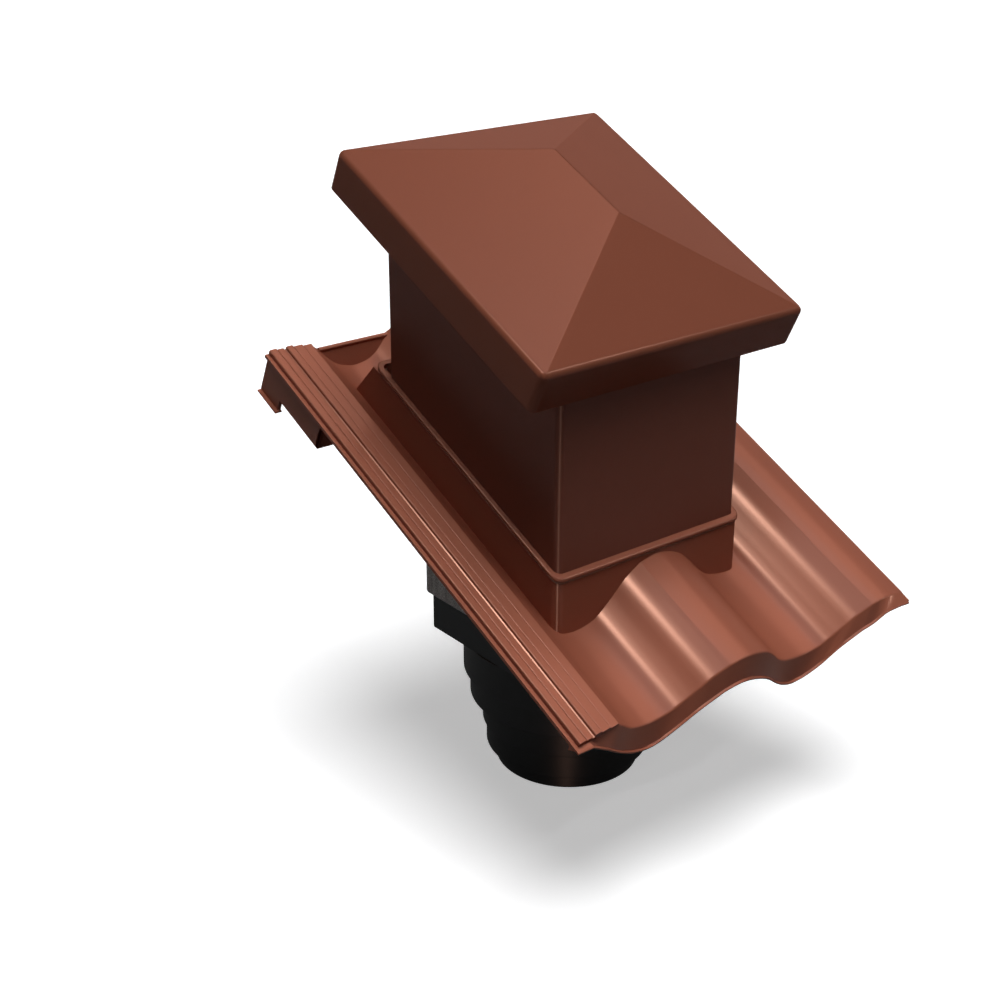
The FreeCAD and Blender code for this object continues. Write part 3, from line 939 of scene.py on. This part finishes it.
    def build(self) -> None:
        """Builds the tile."""
        under = self.under()
        tile = self.sheet()
        pieces = [self.interlock()] + TileBack(self.length).build(under)
        for piece in (tile, under, *pieces):
            piece.place(ROOF)
        saddle = Saddle()
        hollow = saddle.hollow()
        tile.carve(hollow)
        for piece in pieces:
            if piece.obj.name.startswith(("bearing", "nib_plate")):
                piece.carve(hollow)
        pieces += saddle.build(under, hollow)
        tile.join(pieces)
        for tool in (under, hollow):
            tool.discard()
        tile.smooth(self.crease_angle)
        tile.finish(TERRACOTTA, "tile_pan")


@dataclass
class TileBack:
    """Head wall with its bead, right edge lip, nib plates and bearing wall."""

    length: float
    head_wall: float = 0.0022
    ramp_reach: float = 0.014
    ramp_foot: float = -0.0195
    head_top: float = -0.005
    head_bead: float = 0.0018
    head_start: float = 0.0466
    head_end: float = 0.279
    root: float = -0.030
    batten_face: float = -0.0248
    nib_foot: float = -0.0355
    nib_start: float = 0.370
    bearing_start: float = 0.3155
    nib_wall: float = 0.003
    nib_lip: float = 0.0014
    nib_lip_reach: float = 0.002
    edge_lip: float = 0.0029
    right_edge: float = 0.313
    right_proud: float = 0.002
    right_lip: float = 0.0084
    right_lip_thick: float = 0.0015
    lip_reach: float = 0.0018
    bead_sides: int = 20

    def nib(self, u: float, under: Workpiece) -> list[Workpiece]:
        """Makes one nib plate with its turned-out foot.

        Args:
            u: Place of the plate's left face.
            under: Block of all that lies below the sheet.

        Returns:
            The plate and the foot.
        """
        outline = [
            (self.length, CLEAR), (self.length, self.nib_foot), (self.nib_start, self.nib_foot),
            (self.nib_start, self.batten_face), (self.bearing_start, self.batten_face),
            (self.bearing_start, CLEAR),
        ]
        plate = Workpiece.prism("nib_plate", outline, (u, u + self.nib_wall), 0)
        plate.carve(under, Carve.COMMON)
        start = self.nib_start - self.nib_lip_reach
        low = Vector((u - self.edge_lip, start, self.nib_foot))
        high = Vector((u + self.nib_wall, self.length, self.nib_foot + self.nib_lip))
        foot = Workpiece.block("nib_foot", low, high)
        foot.bevel(every_edge, ARRIS, 1)
        return [plate, foot]

    def build(self, under: Workpiece) -> list[Workpiece]:
        """Makes the pieces in the roof plane.

        Args:
            under: Block of all that lies below the sheet.

        Returns:
            The pieces.
        """
        foot = self.length - self.ramp_reach
        outline = [
            (self.length, self.root), (self.length, self.head_top),
            (self.length - self.head_wall, self.head_top), (foot, self.ramp_foot),
            (foot, self.root),
        ]
        wall = Workpiece.prism("head_wall", outline, (self.head_start, self.head_end), 0)
        wall.carve(under)
        span = self.head_end - self.head_start
        bead = Workpiece.rod("head_bead", Vector(), self.head_bead, span, self.bead_sides)
        top = self.head_top - self.head_bead / 2
        spot = Matrix.Translation((self.head_start, self.length - self.head_bead, top))
        bead.place(spot @ Matrix.Rotation(math.radians(90.0), 4, "Y"))
        bead.carve(under)
        bearing = Workpiece.block(
            "bearing_wall",
            Vector((self.edge_lip, self.bearing_start, self.batten_face)),
            Vector((self.right_edge, self.bearing_start + self.nib_wall, CLEAR)),
        )
        bearing.carve(under, Carve.COMMON)
        low = Vector((self.right_edge - self.edge_lip, self.lip_reach, self.right_lip))
        top = self.right_lip + self.right_lip_thick
        side = Workpiece.block(
            "right_lip", low, Vector((self.right_edge + self.right_proud, self.length, top))
        )
        side.bevel(every_edge, ARRIS, 1)
        pieces = [wall, bead, bearing, side]
        for u in (self.edge_lip, VENT_AXIS_U, self.right_edge - self.edge_lip - self.nib_wall):
            pieces += self.nib(u, under)
        return pieces


@dataclass
class Saddle:
    """Hollow saddle that carries the box, with its deck, bead and screw bosses."""

    fit: float = 0.0003
    wall: float = 0.0025
    corner: float = 0.0065
    shelf: float = 0.0118
    lean: float = math.radians(45.0)
    blank_back: float = 0.4
    room_foot: float = -0.09
    deck_thick: float = 0.0025
    bead_height: float = 0.0028
    bead_proud: float = 0.0015
    bead_round: float = 0.0012
    bead_strips: int = 5
    root: float = -0.030
    collar_fit: float = 0.0005
    boss_radius: float = 0.003
    boss_length: float = 0.0065
    boss_sides: int = 24
    boss_places: tuple[Point, ...] = (
        (-0.055, -0.0747), (0.055, -0.0747), (-0.055, 0.0936), (0.055, 0.0936),
    )

    def leaning_block(self, name: str, inset: float, top: float, low: float) -> Workpiece:
        """Makes the saddle's block with its upright front and leaning back.

        Args:
            name: Name of the piece.
            inset: How much smaller it is than the outer form.
            top: Height of its top above the roof plane.
            low: Height of its bottom.

        Returns:
            The block.
        """
        half = BOX_WIDTH / 2 + self.fit + self.wall - inset
        front = BOX_FRONT - self.fit - self.wall + inset
        back = BOX_BACK + self.shelf - inset
        high = Vector((half, self.blank_back, FAR))
        piece = Workpiece.block(name, Vector((-half, front, CLEAR)), high)

        def front_corner(edge: Edge) -> bool:
            """Whether an edge is an upright one at the front."""
            return upright_edge(edge) and edge.verts[0].co.y < 0.0

        piece.bevel(front_corner, self.corner - inset, CORNER_STRIPS)
        crest = Vector((0.0, back, roof_height(back, BEAD_TOP)))
        outward = Vector((0.0, math.cos(self.lean), math.sin(self.lean)))
        piece.cut(crest, outward, Keep.BELOW)
        between_planes(piece, low, top)
        return piece

    def hollow(self) -> Workpiece:
        """Makes the block of the room inside the saddle."""
        top = DECK_TOP - self.deck_thick
        return self.leaning_block("saddle_hollow", self.wall, top, self.room_foot)

    def bead(self) -> Workpiece:
        """Makes the round bead along the top of the saddle.

        Returns:
            The bead.
        """
        half = BOX_WIDTH / 2 + self.fit + self.wall + self.bead_proud
        front = BOX_FRONT - self.fit - self.wall - self.bead_proud
        back = BOX_BACK + self.shelf + self.bead_proud
        band = upright_block("saddle_bead", half, front, back, self.corner + self.bead_proud)
        between_planes(band, BEAD_TOP - self.bead_height, BEAD_TOP)
        band.bevel(lambda edge: not upright_edge(edge), self.bead_round, self.bead_strips)
        half = BOX_WIDTH / 2 + self.fit
        back = BOX_BACK + self.shelf - self.wall
        room = upright_block("recess", half, BOX_FRONT - self.fit, back, BOX_CORNER + self.fit)
        band.carve(room)
        room.discard()
        return band

    def bosses(self) -> list[Workpiece]:
        """Makes the screw bosses under the deck.

        Returns:
            The bosses.
        """
        made = []
        depth = self.boss_length + self.deck_thick / 2
        foot = Vector((0.0, 0.0, -depth))
        for x, y in self.boss_places:
            boss = Workpiece.rod("deck_boss", foot, self.boss_radius, depth, self.boss_sides)
            top = Vector((x, y, roof_height(y, DECK_TOP))) - ROOF_NORMAL * self.deck_thick / 2
            boss.place(Matrix.Translation(top) @ Matrix.Rotation(ROOF_PITCH, 4, "X"))
            made.append(boss)
        return made

    def build(self, under: Workpiece, hollow: Workpiece) -> list[Workpiece]:
        """Makes the saddle's pieces in their place.

        Args:
            under: Block of all that lies below the sheet.
            hollow: Room inside the saddle.

        Returns:
            The pieces.
        """
        shell = self.leaning_block("saddle", 0.0, DECK_TOP, self.root)
        hole = collar_block("collar_hole", self.collar_fit)
        for tool in (under, hollow, hole):
            shell.carve(tool)
        hole.discard()
        return [shell, self.bead()] + self.bosses()


@dataclass
class BoxHousing:
    """Upright sleeve with its rear cove, the ledge under the grille and the clips."""

    wall: float = 0.0025
    top: float = 0.160
    cove_height: float = 0.013
    cove_end: float = 0.1186
    cove_sag: float = 0.0022
    cove_strips: int = 8
    ledge_under: float = 0.141
    ledge_top: float = 0.143
    ledge_proud: float = 0.0026
    clip_low: float = 0.1458
    clip_height: float = 0.004
    clip_proud: float = 0.0016
    clip_width: float = 0.009
    clip_spread: float = 0.060
    crease_angle: float = 27.0

    def sleeve(self, name: str, grow: float, wall: float, low: float, high: float) -> Workpiece:
        """Makes an upright sleeve of the box's outline between two pitched planes.

        Args:
            name: Name of the piece.
            grow: Growth of the outline on all sides.
            wall: Wall of the sleeve.
            low: Height of the lower plane above the roof plane.
            high: Height of the upper plane.

        Returns:
            The sleeve.
        """
        half = BOX_WIDTH / 2 + grow
        front = BOX_FRONT - grow
        back = BOX_BACK + grow
        corner = BOX_CORNER + grow
        piece = upright_block(name, half, front, back, corner)
        between_planes(piece, low, high)
        room = upright_block("room", half - wall, front + wall, back - wall, corner - wall)
        piece.carve(room)
        room.discard()
        return piece

    def cove(self) -> Workpiece:
        """Makes the hollow-curved flare at the rear foot of the box.

        Returns:
            The flare.
        """
        half = BOX_WIDTH / 2 - BOX_CORNER
        inner = BOX_BACK - self.wall / 2
        crest = roof_height(BOX_BACK, BEAD_TOP) + self.cove_height
        crown = Vector((0.0, BOX_BACK, crest))
        tip = Vector((0.0, self.cove_end, roof_height(self.cove_end, BEAD_TOP)))
        pull = Vector((0.0, BOX_BACK, tip.z)) - (crown + tip) / 2
        pull = pull.normalized() * self.cove_sag
        outline = []
        for strip in range(self.cove_strips + 1):
            share = strip / self.cove_strips
            outline.append(crown + (tip - crown) * share + pull * 4 * share * (1 - share))
        outline.append(Vector((0.0, self.cove_end, roof_height(self.cove_end, DECK_TOP))))
        outline.append(Vector((0.0, inner, roof_height(inner, DECK_TOP))))
        outline.append(Vector((0.0, inner, crest)))
        return Workpiece.prism("rear_cove", [point.yz for point in outline], (-half, half), 0)

    def clips(self) -> list[Workpiece]:
        """Makes the ramped clips above the grille.

        Returns:
            The clips.
        """
        run = (BOX_FRONT + BOX_BACK) / 2 - NOSE_CORNER.y
        middle = (run + self.clip_low * math.sin(ROOF_PITCH)) / math.cos(ROOF_PITCH)
        low, high = self.clip_low, self.clip_low + self.clip_height
        made = []
        for side in (-1, 1):
            root = VENT_AXIS_U + side * (BOX_WIDTH - self.wall) / 2
            tip = VENT_AXIS_U + side * (BOX_WIDTH / 2 + self.clip_proud)
            for offset in (-self.clip_spread, self.clip_spread):
                outline = [(root, low), (tip, low), (root, high)]
                start = middle + offset - self.clip_width / 2
                clip = Workpiece.prism("clip", outline, (start, start + self.clip_width), 1)
                clip.place(ROOF)
                made.append(clip)
        return made

    def build(self) -> None:
        """Builds the box."""
        box = self.sleeve("vent_box", 0.0, self.wall, DECK_TOP, self.top)
        ledge = self.sleeve(
            "grille_ledge", self.ledge_proud, self.ledge_proud, self.ledge_under, self.ledge_top
        )
        box.join([ledge, self.cove()] + self.clips())
        box.smooth(self.crease_angle)
        box.finish(TERRACOTTA_BOX_PAINTED_SHADE, "box_housing")


@dataclass
class CapHood:
    """Hipped cap with its skirt and four screw bosses, drawn in the roof plane."""

    width: float = 0.2348
    length: float = 0.2452
    start: float = 0.1585
    under: float = 0.1399
    skirt: float = 0.0299
    rise: float = 0.0391
    front_run: float = 0.090
    rear_run: float = 0.0823
    wall: float = 0.0025
    corner: float = 0.0055
    eave: float = 0.0034
    eave_strips: int = 3
    hip: float = 0.0006
    hem: float = 0.0006
    ridge_cut: float = 0.0002
    boss_radius: float = 0.0045
    boss_inset: float = 0.0115
    boss_foot: float = 0.1455
    boss_length: float = 0.026
    boss_sides: int = 32
    crease_angle: float = 26.0
    slope_range: Point = (0.5, 0.99)
    hip_fold: float = 0.4
    side_tilt: float = 0.1
    hem_reach: float = 0.0001

    def hipped_block(self, name: str, inset: float) -> Workpiece:
        """Makes a hipped block of the cap's outline.

        Args:
            name: Name of the piece.
            inset: How much smaller it is than the outer form.

        Returns:
            The block.
        """
        left = VENT_AXIS_U - self.width / 2
        end = self.start + self.length
        eave = self.under + self.skirt
        low = Vector((left + inset, self.start + inset, self.under - 2 * inset))
        high = Vector((left + self.width - inset, end - inset, eave + self.rise - self.ridge_cut))
        block = Workpiece.block(name, low, high)
        block.bevel(upright_edge, self.corner - inset, CORNER_STRIPS)
        half = self.width / 2
        for corner, run in (
            (Vector((0.0, self.start, eave)), Vector((0.0, self.front_run, 0.0))),
            (Vector((0.0, end, eave)), Vector((0.0, -self.rear_run, 0.0))),
            (Vector((left, 0.0, eave)), Vector((half, 0.0, 0.0))),
            (Vector((left + self.width, 0.0, eave)), Vector((-half, 0.0, 0.0))),
        ):
            up = Vector((0.0, 0.0, run.length)) - run.normalized() * self.rise
            up.normalize()
            block.cut(corner - up * inset, up, Keep.BELOW)
        return block

    def shell(self) -> Workpiece:
        """Makes the hipped shell.

        Returns:
            The shell.
        """
        cap = self.hipped_block("vent_cap", 0.0)

        def on_roof(face: bmesh.types.BMFace) -> bool:
            """Whether a face is a slope of the cap."""
            return self.slope_range[0] < face.normal.z < self.slope_range[1]

        def at_hip(edge: Edge) -> bool:
            """Whether two slopes meet at an edge."""
            return all(map(on_roof, edge.link_faces)) and edge.calc_face_angle() > self.hip_fold

        def at_eave(edge: Edge) -> bool:
            """Whether a slope meets the skirt at an edge."""
            on_side = [abs(face.normal.z) < self.side_tilt for face in edge.link_faces]
            return any(map(on_roof, edge.link_faces)) and any(on_side)

        cap.bevel(at_eave, self.eave, self.eave_strips)
        cap.bevel(at_hip, self.hip, 1)
        cap.weld(self.hip / 20)
        room = self.hipped_block("cap_room", self.wall)
        cap.carve(room)
        room.discard()

        def at_hem(edge: Edge) -> bool:
            """Whether an edge runs along the foot of the skirt."""
            low = all(abs(vert.co.z - self.under) < self.hem_reach for vert in edge.verts)
            return low and edge.calc_face_angle(0.0) > SHARP

        cap.bevel(at_hem, self.hem, EDGE_STRIPS)
        return cap

    def bosses(self) -> list[Workpiece]:
        """Makes the four screw bosses.

        Returns:
            The bosses.
        """
        made = []
        for side in (-1, 1):
            for s in (self.start + self.boss_inset, self.start + self.length - self.boss_inset):
                u = VENT_AXIS_U + side * (self.width / 2 - self.boss_inset)
                foot = Vector((u, s, self.boss_foot))
                size = (self.boss_radius, self.boss_length, self.boss_sides)
                made.append(Workpiece.rod("cap_boss", foot, *size))
        return made

    def build(self) -> None:
        """Builds the cap."""
        cap = self.shell()
        cap.join(self.bosses())
        cap.place(ROOF)
        cap.smooth(self.crease_angle)
        cap.finish(TERRACOTTA_CAP_PAINTED_SHADE, "cap_hood")


@dataclass
class SpigotAdapter:
    """Black duct adapter: stepped spigot, shoulder, collar and pitched flange."""

    steps: tuple[Point, ...] = (
        (0.0550, 0.013), (0.0625, 0.020), (0.0655, 0.023), (0.0750, 0.022), (0.0800, 0.028),
    )
    wall: float = 0.0025
    edge_round: float = 0.0007
    flange_fit: float = 0.0005
    around: int = 128
    seam: float = 0.000005
    crease_angle: float = 30.0

    def outline(self) -> list[Vector]:
        """Lists the closed outline of the stepped wall.

        Returns:
            The outline's points.
        """
        outer = []
        inner = []
        z = 0.0
        for radius, length in self.steps:
            outer += [(radius, z), (radius, z + length)]
            low = z + self.wall if z else z
            inner += [(radius - self.wall, low), (radius - self.wall, z + length + self.wall)]
            z += length
        inner[-1] = (inner[-1][0], z)
        path = outer + inner[::-1] + outer[:1]
        return [Vector((radius, 0.0, height)) for radius, height in path]

    def spigot(self) -> Workpiece:
        """Turns the stepped spigot.

        Returns:
            The spigot.
        """
        spigot = Workpiece.wire("duct_adapter", self.outline())
        spigot.edit(
            lambda: bpy.ops.mesh.spin(
                steps=self.around,
                angle=math.tau,
                center=(0, 0, 0),
                axis=(0, 0, 1),
                use_auto_merge=True,
            )
        )
        spigot.weld(self.seam)
        spigot.outward()

        def at_step(edge: Edge) -> bool:
            """Whether an edge is an outer rim of a step."""
            flat = abs(edge.verts[0].co.z - edge.verts[1].co.z) < NEAR
            return flat and edge.calc_face_angle_signed(0.0) > SHARP

        spigot.bevel(at_step, self.edge_round, EDGE_STRIPS)
        return spigot

    def collar(self) -> Workpiece:
        """Makes the rectangular collar, open at both ends.

        Returns:
            The collar.
        """
        collar = collar_block("collar", 0.0)
        collar.cut(UP * SPIGOT_LENGTH, UP, Keep.ABOVE)
        collar.cut(deck_plane(DECK_TOP + self.wall), ROOF_NORMAL, Keep.BELOW)

        def at_foot(edge: Edge) -> bool:
            """Whether an edge runs along the foot of the collar."""
            return all(abs(vert.co.z - SPIGOT_LENGTH) < NEAR for vert in edge.verts)

        collar.bevel(at_foot, self.edge_round, EDGE_STRIPS)
        return collar

    def shoulder(self) -> Workpiece:
        """Makes the plate that closes the round step round the collar."""
        radius = self.steps[-1][0] - self.wall / 2
        return Workpiece.rod("shoulder", UP * SPIGOT_LENGTH, radius, self.wall, self.around)

    def flange(self) -> Workpiece:
        """Makes the pitched flange that lies on the deck.

        Returns:
            The flange.
        """
        inset = self.wall + self.flange_fit
        half = BOX_WIDTH / 2 - inset
        flange = upright_block(
            "flange", half, BOX_FRONT + inset, BOX_BACK - inset, BOX_CORNER - self.wall
        )
        between_planes(flange, DECK_TOP, DECK_TOP + self.wall)
        return flange

    def build(self) -> None:
        """Builds the adapter."""
        adapter = self.spigot()
        upper = [self.shoulder(), self.collar(), self.flange()]
        throat = collar_block("throat", -self.wall)
        for piece in upper:
            piece.carve(throat)
        throat.discard()
        adapter.join(upper)
        adapter.smooth(self.crease_angle)
        adapter.finish(BLACK, "spigot_adapter")


@dataclass
class FoamSeal:
    """Foam band wrapped round the collar."""

    thick: float = 0.0048
    fit: float = 0.0003
    low: float = 0.1365
    top: float = 0.0077
    soft_edge: float = 0.0008
    edge_strips: int = 3
    crease_angle: float = 35.0

    def build(self) -> None:
        """Builds the foam."""
        foam = collar_block("foam_band", self.thick)
        foam.cut(UP * self.low, UP, Keep.ABOVE)
        foam.cut(deck_plane(self.top), ROOF_NORMAL, Keep.BELOW)
        foam.bevel(lambda edge: not upright_edge(edge), self.soft_edge, self.edge_strips)
        room = collar_block("foam_room", self.fit)
        foam.carve(room)
        room.discard()
        foam.smooth(self.crease_angle)
        foam.finish(FOAM, "foam_seal")


@dataclass
class SmallParts:
    """Nodes of the frame that stay as they are and only get their finish."""

    nodes: dict[str, bpy.types.Object]

    def build(self) -> None:
        """Dresses the grille and the screws."""
        for node, finish in (
            ("outlet_grille", TERRACOTTA_BOX_PAINTED_SHADE),
            ("adapter_screws", STEEL),
            ("cap_screws", STEEL),
        ):
            piece = self.nodes[node]
            piece.data.materials.clear()
            piece.data.materials.append(finish.material())
            LOG.info("%s dressed", node)


@dataclass(frozen=True)
class Lamp:
    """Far lamp, with the direction to it and its apparent size."""

    name: str
    toward: Triple
    strength: float
    degrees: float
    sheen: bool = False


@dataclass
class Studio:
    """Floor, lamps, background and camera. Sheen lamps only make highlights."""

    camera_place: Triple = (-0.73433, -0.84109, 0.69430)
    camera_turn: Point = (66.6, -38.43)
    camera_roll: float = 0.11
    lens: float = 59.82
    sensor: float = 36.0
    fill: float = 0.04
    warm: Triple = (1.0, 0.55, 0.40)
    floor_size: float = 40.0
    floor_drop: float = 0.0005
    floor_seen: Triple = (0.93, 0.93, 0.94)
    floor_unseen: Triple = (0.06, 0.06, 0.06)
    floor_roughness: float = 0.9
    floor_lift: float = 0.45
    lamp_distance: float = 2.0
    lamps: tuple[Lamp, ...] = (
        Lamp("overhead_softbox", (-0.02, -0.14, 0.99), 2.5, 40.0),
        Lamp("front_lamp", (0.11, -0.61, 0.78), 0.12, 3.0),
        Lamp("left_lamp", (-0.90, -0.20, 0.40), 0.07, 10.0),
        Lamp("left_sheen", (-0.372, 0.042, 0.928), 8.0, 3.0, sheen=True),
        Lamp("right_sheen", (0.45, 0.06, 0.89), 4.0, 38.0, sheen=True),
        Lamp("front_sheen", (0.59, -0.66, 0.46), 3.5, 6.0, sheen=True),
        Lamp("crest_sheen", (0.30, -0.34, 0.89), 2.0, 4.0, sheen=True),
        Lamp("low_sheen", (-0.59, -0.68, -0.44), 1.6, 6.0, sheen=True),
    )

    def seen(self, wiring: Wiring) -> Socket:
        """Adds the test for rays that show the background itself.

        Args:
            wiring: Node tree of the material or the world.

        Returns:
            Socket that is 1 for camera, glossy and transmission rays.
        """
        path = wiring.add("LightPath", {}).outputs
        shown = wiring.math("MAXIMUM", path["Is Camera Ray"], path["Is Glossy Ray"])
        return wiring.math("MAXIMUM", shown, path["Is Transmission Ray"])

    def floor(self) -> None:
        """Lays the pale floor, which throws little light back on the object."""
        bpy.ops.object.select_all(action="DESELECT")
        place = (0.0, 0.0, -self.floor_drop)
        bpy.ops.mesh.primitive_plane_add(size=self.floor_size, location=place)
        floor = bpy.context.object
        floor.name = "floor"
        material = bpy.data.materials.new("pale_floor")
        material.use_nodes = True
        wiring = Wiring(material.node_tree)
        seen = self.seen(wiring)
        tones = ((*colour, 1.0) for colour in (self.floor_unseen, self.floor_seen))
        inputs = {
            "Roughness": self.floor_roughness,
            "Specular IOR Level": 0.0,
            "Base Color": wiring.mix(seen, *tones),
            "Emission Color": WHITE,
            "Emission Strength": wiring.math("MULTIPLY", seen, self.floor_lift),
        }
        wiring.feed(material.node_tree.nodes["Principled BSDF"], inputs)
        floor.data.materials.append(material)

    def hang(self, plan: Lamp) -> None:
        """Hangs a far lamp.

        Args:
            plan: What the lamp is like.
        """
        data = bpy.data.lights.new(plan.name, "SUN")
        data.energy = plan.strength
        data.angle = math.radians(plan.degrees)
        if plan.sheen:
            data.color = self.warm
            data.use_shadow = False
        toward = Vector(plan.toward)
        lamp = bpy.data.objects.new(plan.name, data)
        lamp.rotation_euler = toward.to_track_quat("Z", "Y").to_euler()
        lamp.location = toward.normalized() * self.lamp_distance
        lamp.visible_diffuse = not plan.sheen
        bpy.context.scene.collection.objects.link(lamp)

    def world(self) -> None:
        """Sets a white background that camera, glossy and transmission rays see."""
        world = bpy.data.worlds.new("studio")
        bpy.context.scene.world = world
        world.use_nodes = True
        world.node_tree.nodes.clear()
        wiring = Wiring(world.node_tree)
        white = wiring.add("Background", {"Color": WHITE}).outputs[0]
        fill = wiring.add("Background", {"Color": WHITE, "Strength": self.fill}).outputs[0]
        mix = wiring.add("MixShader", {"Fac": self.seen(wiring), 1: fill, 2: white})
        wiring.add("OutputWorld", {"Surface": mix.outputs[0]})

    def camera(self) -> None:
        """Sets the camera at the photograph's place."""
        data = bpy.data.cameras.new("camera")
        data.lens = self.lens
        data.sensor_width = self.sensor
        camera = bpy.data.objects.new("camera", data)
        tilt, yaw = (math.radians(angle) for angle in self.camera_turn)
        turn = Matrix.Rotation(yaw, 4, "Z") @ Matrix.Rotation(tilt, 4, "X")
        turn = turn @ Matrix.Rotation(math.radians(self.camera_roll), 4, "Z")
        camera.matrix_world = Matrix.Translation(Vector(self.camera_place)) @ turn
        bpy.context.scene.collection.objects.link(camera)
        bpy.context.scene.camera = camera

    def build(self) -> None:
        """Builds the studio."""
        self.floor()
        self.world()
        for plan in self.lamps:
            self.hang(plan)
        self.camera()
        bpy.context.scene.view_settings.view_transform = "Standard"


def main() -> None:
    """Builds the part and the studio."""
    logging.basicConfig(level=logging.INFO, format="%(name)s: %(message)s")
    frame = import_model()
    small = SmallParts(frame["nodes"])
    for assembly in (TilePan(), BoxHousing(), CapHood(), SpigotAdapter(), FoamSeal(), small):
        assembly.build()
    Studio().build()


if __name__ == "__main__":
    main()
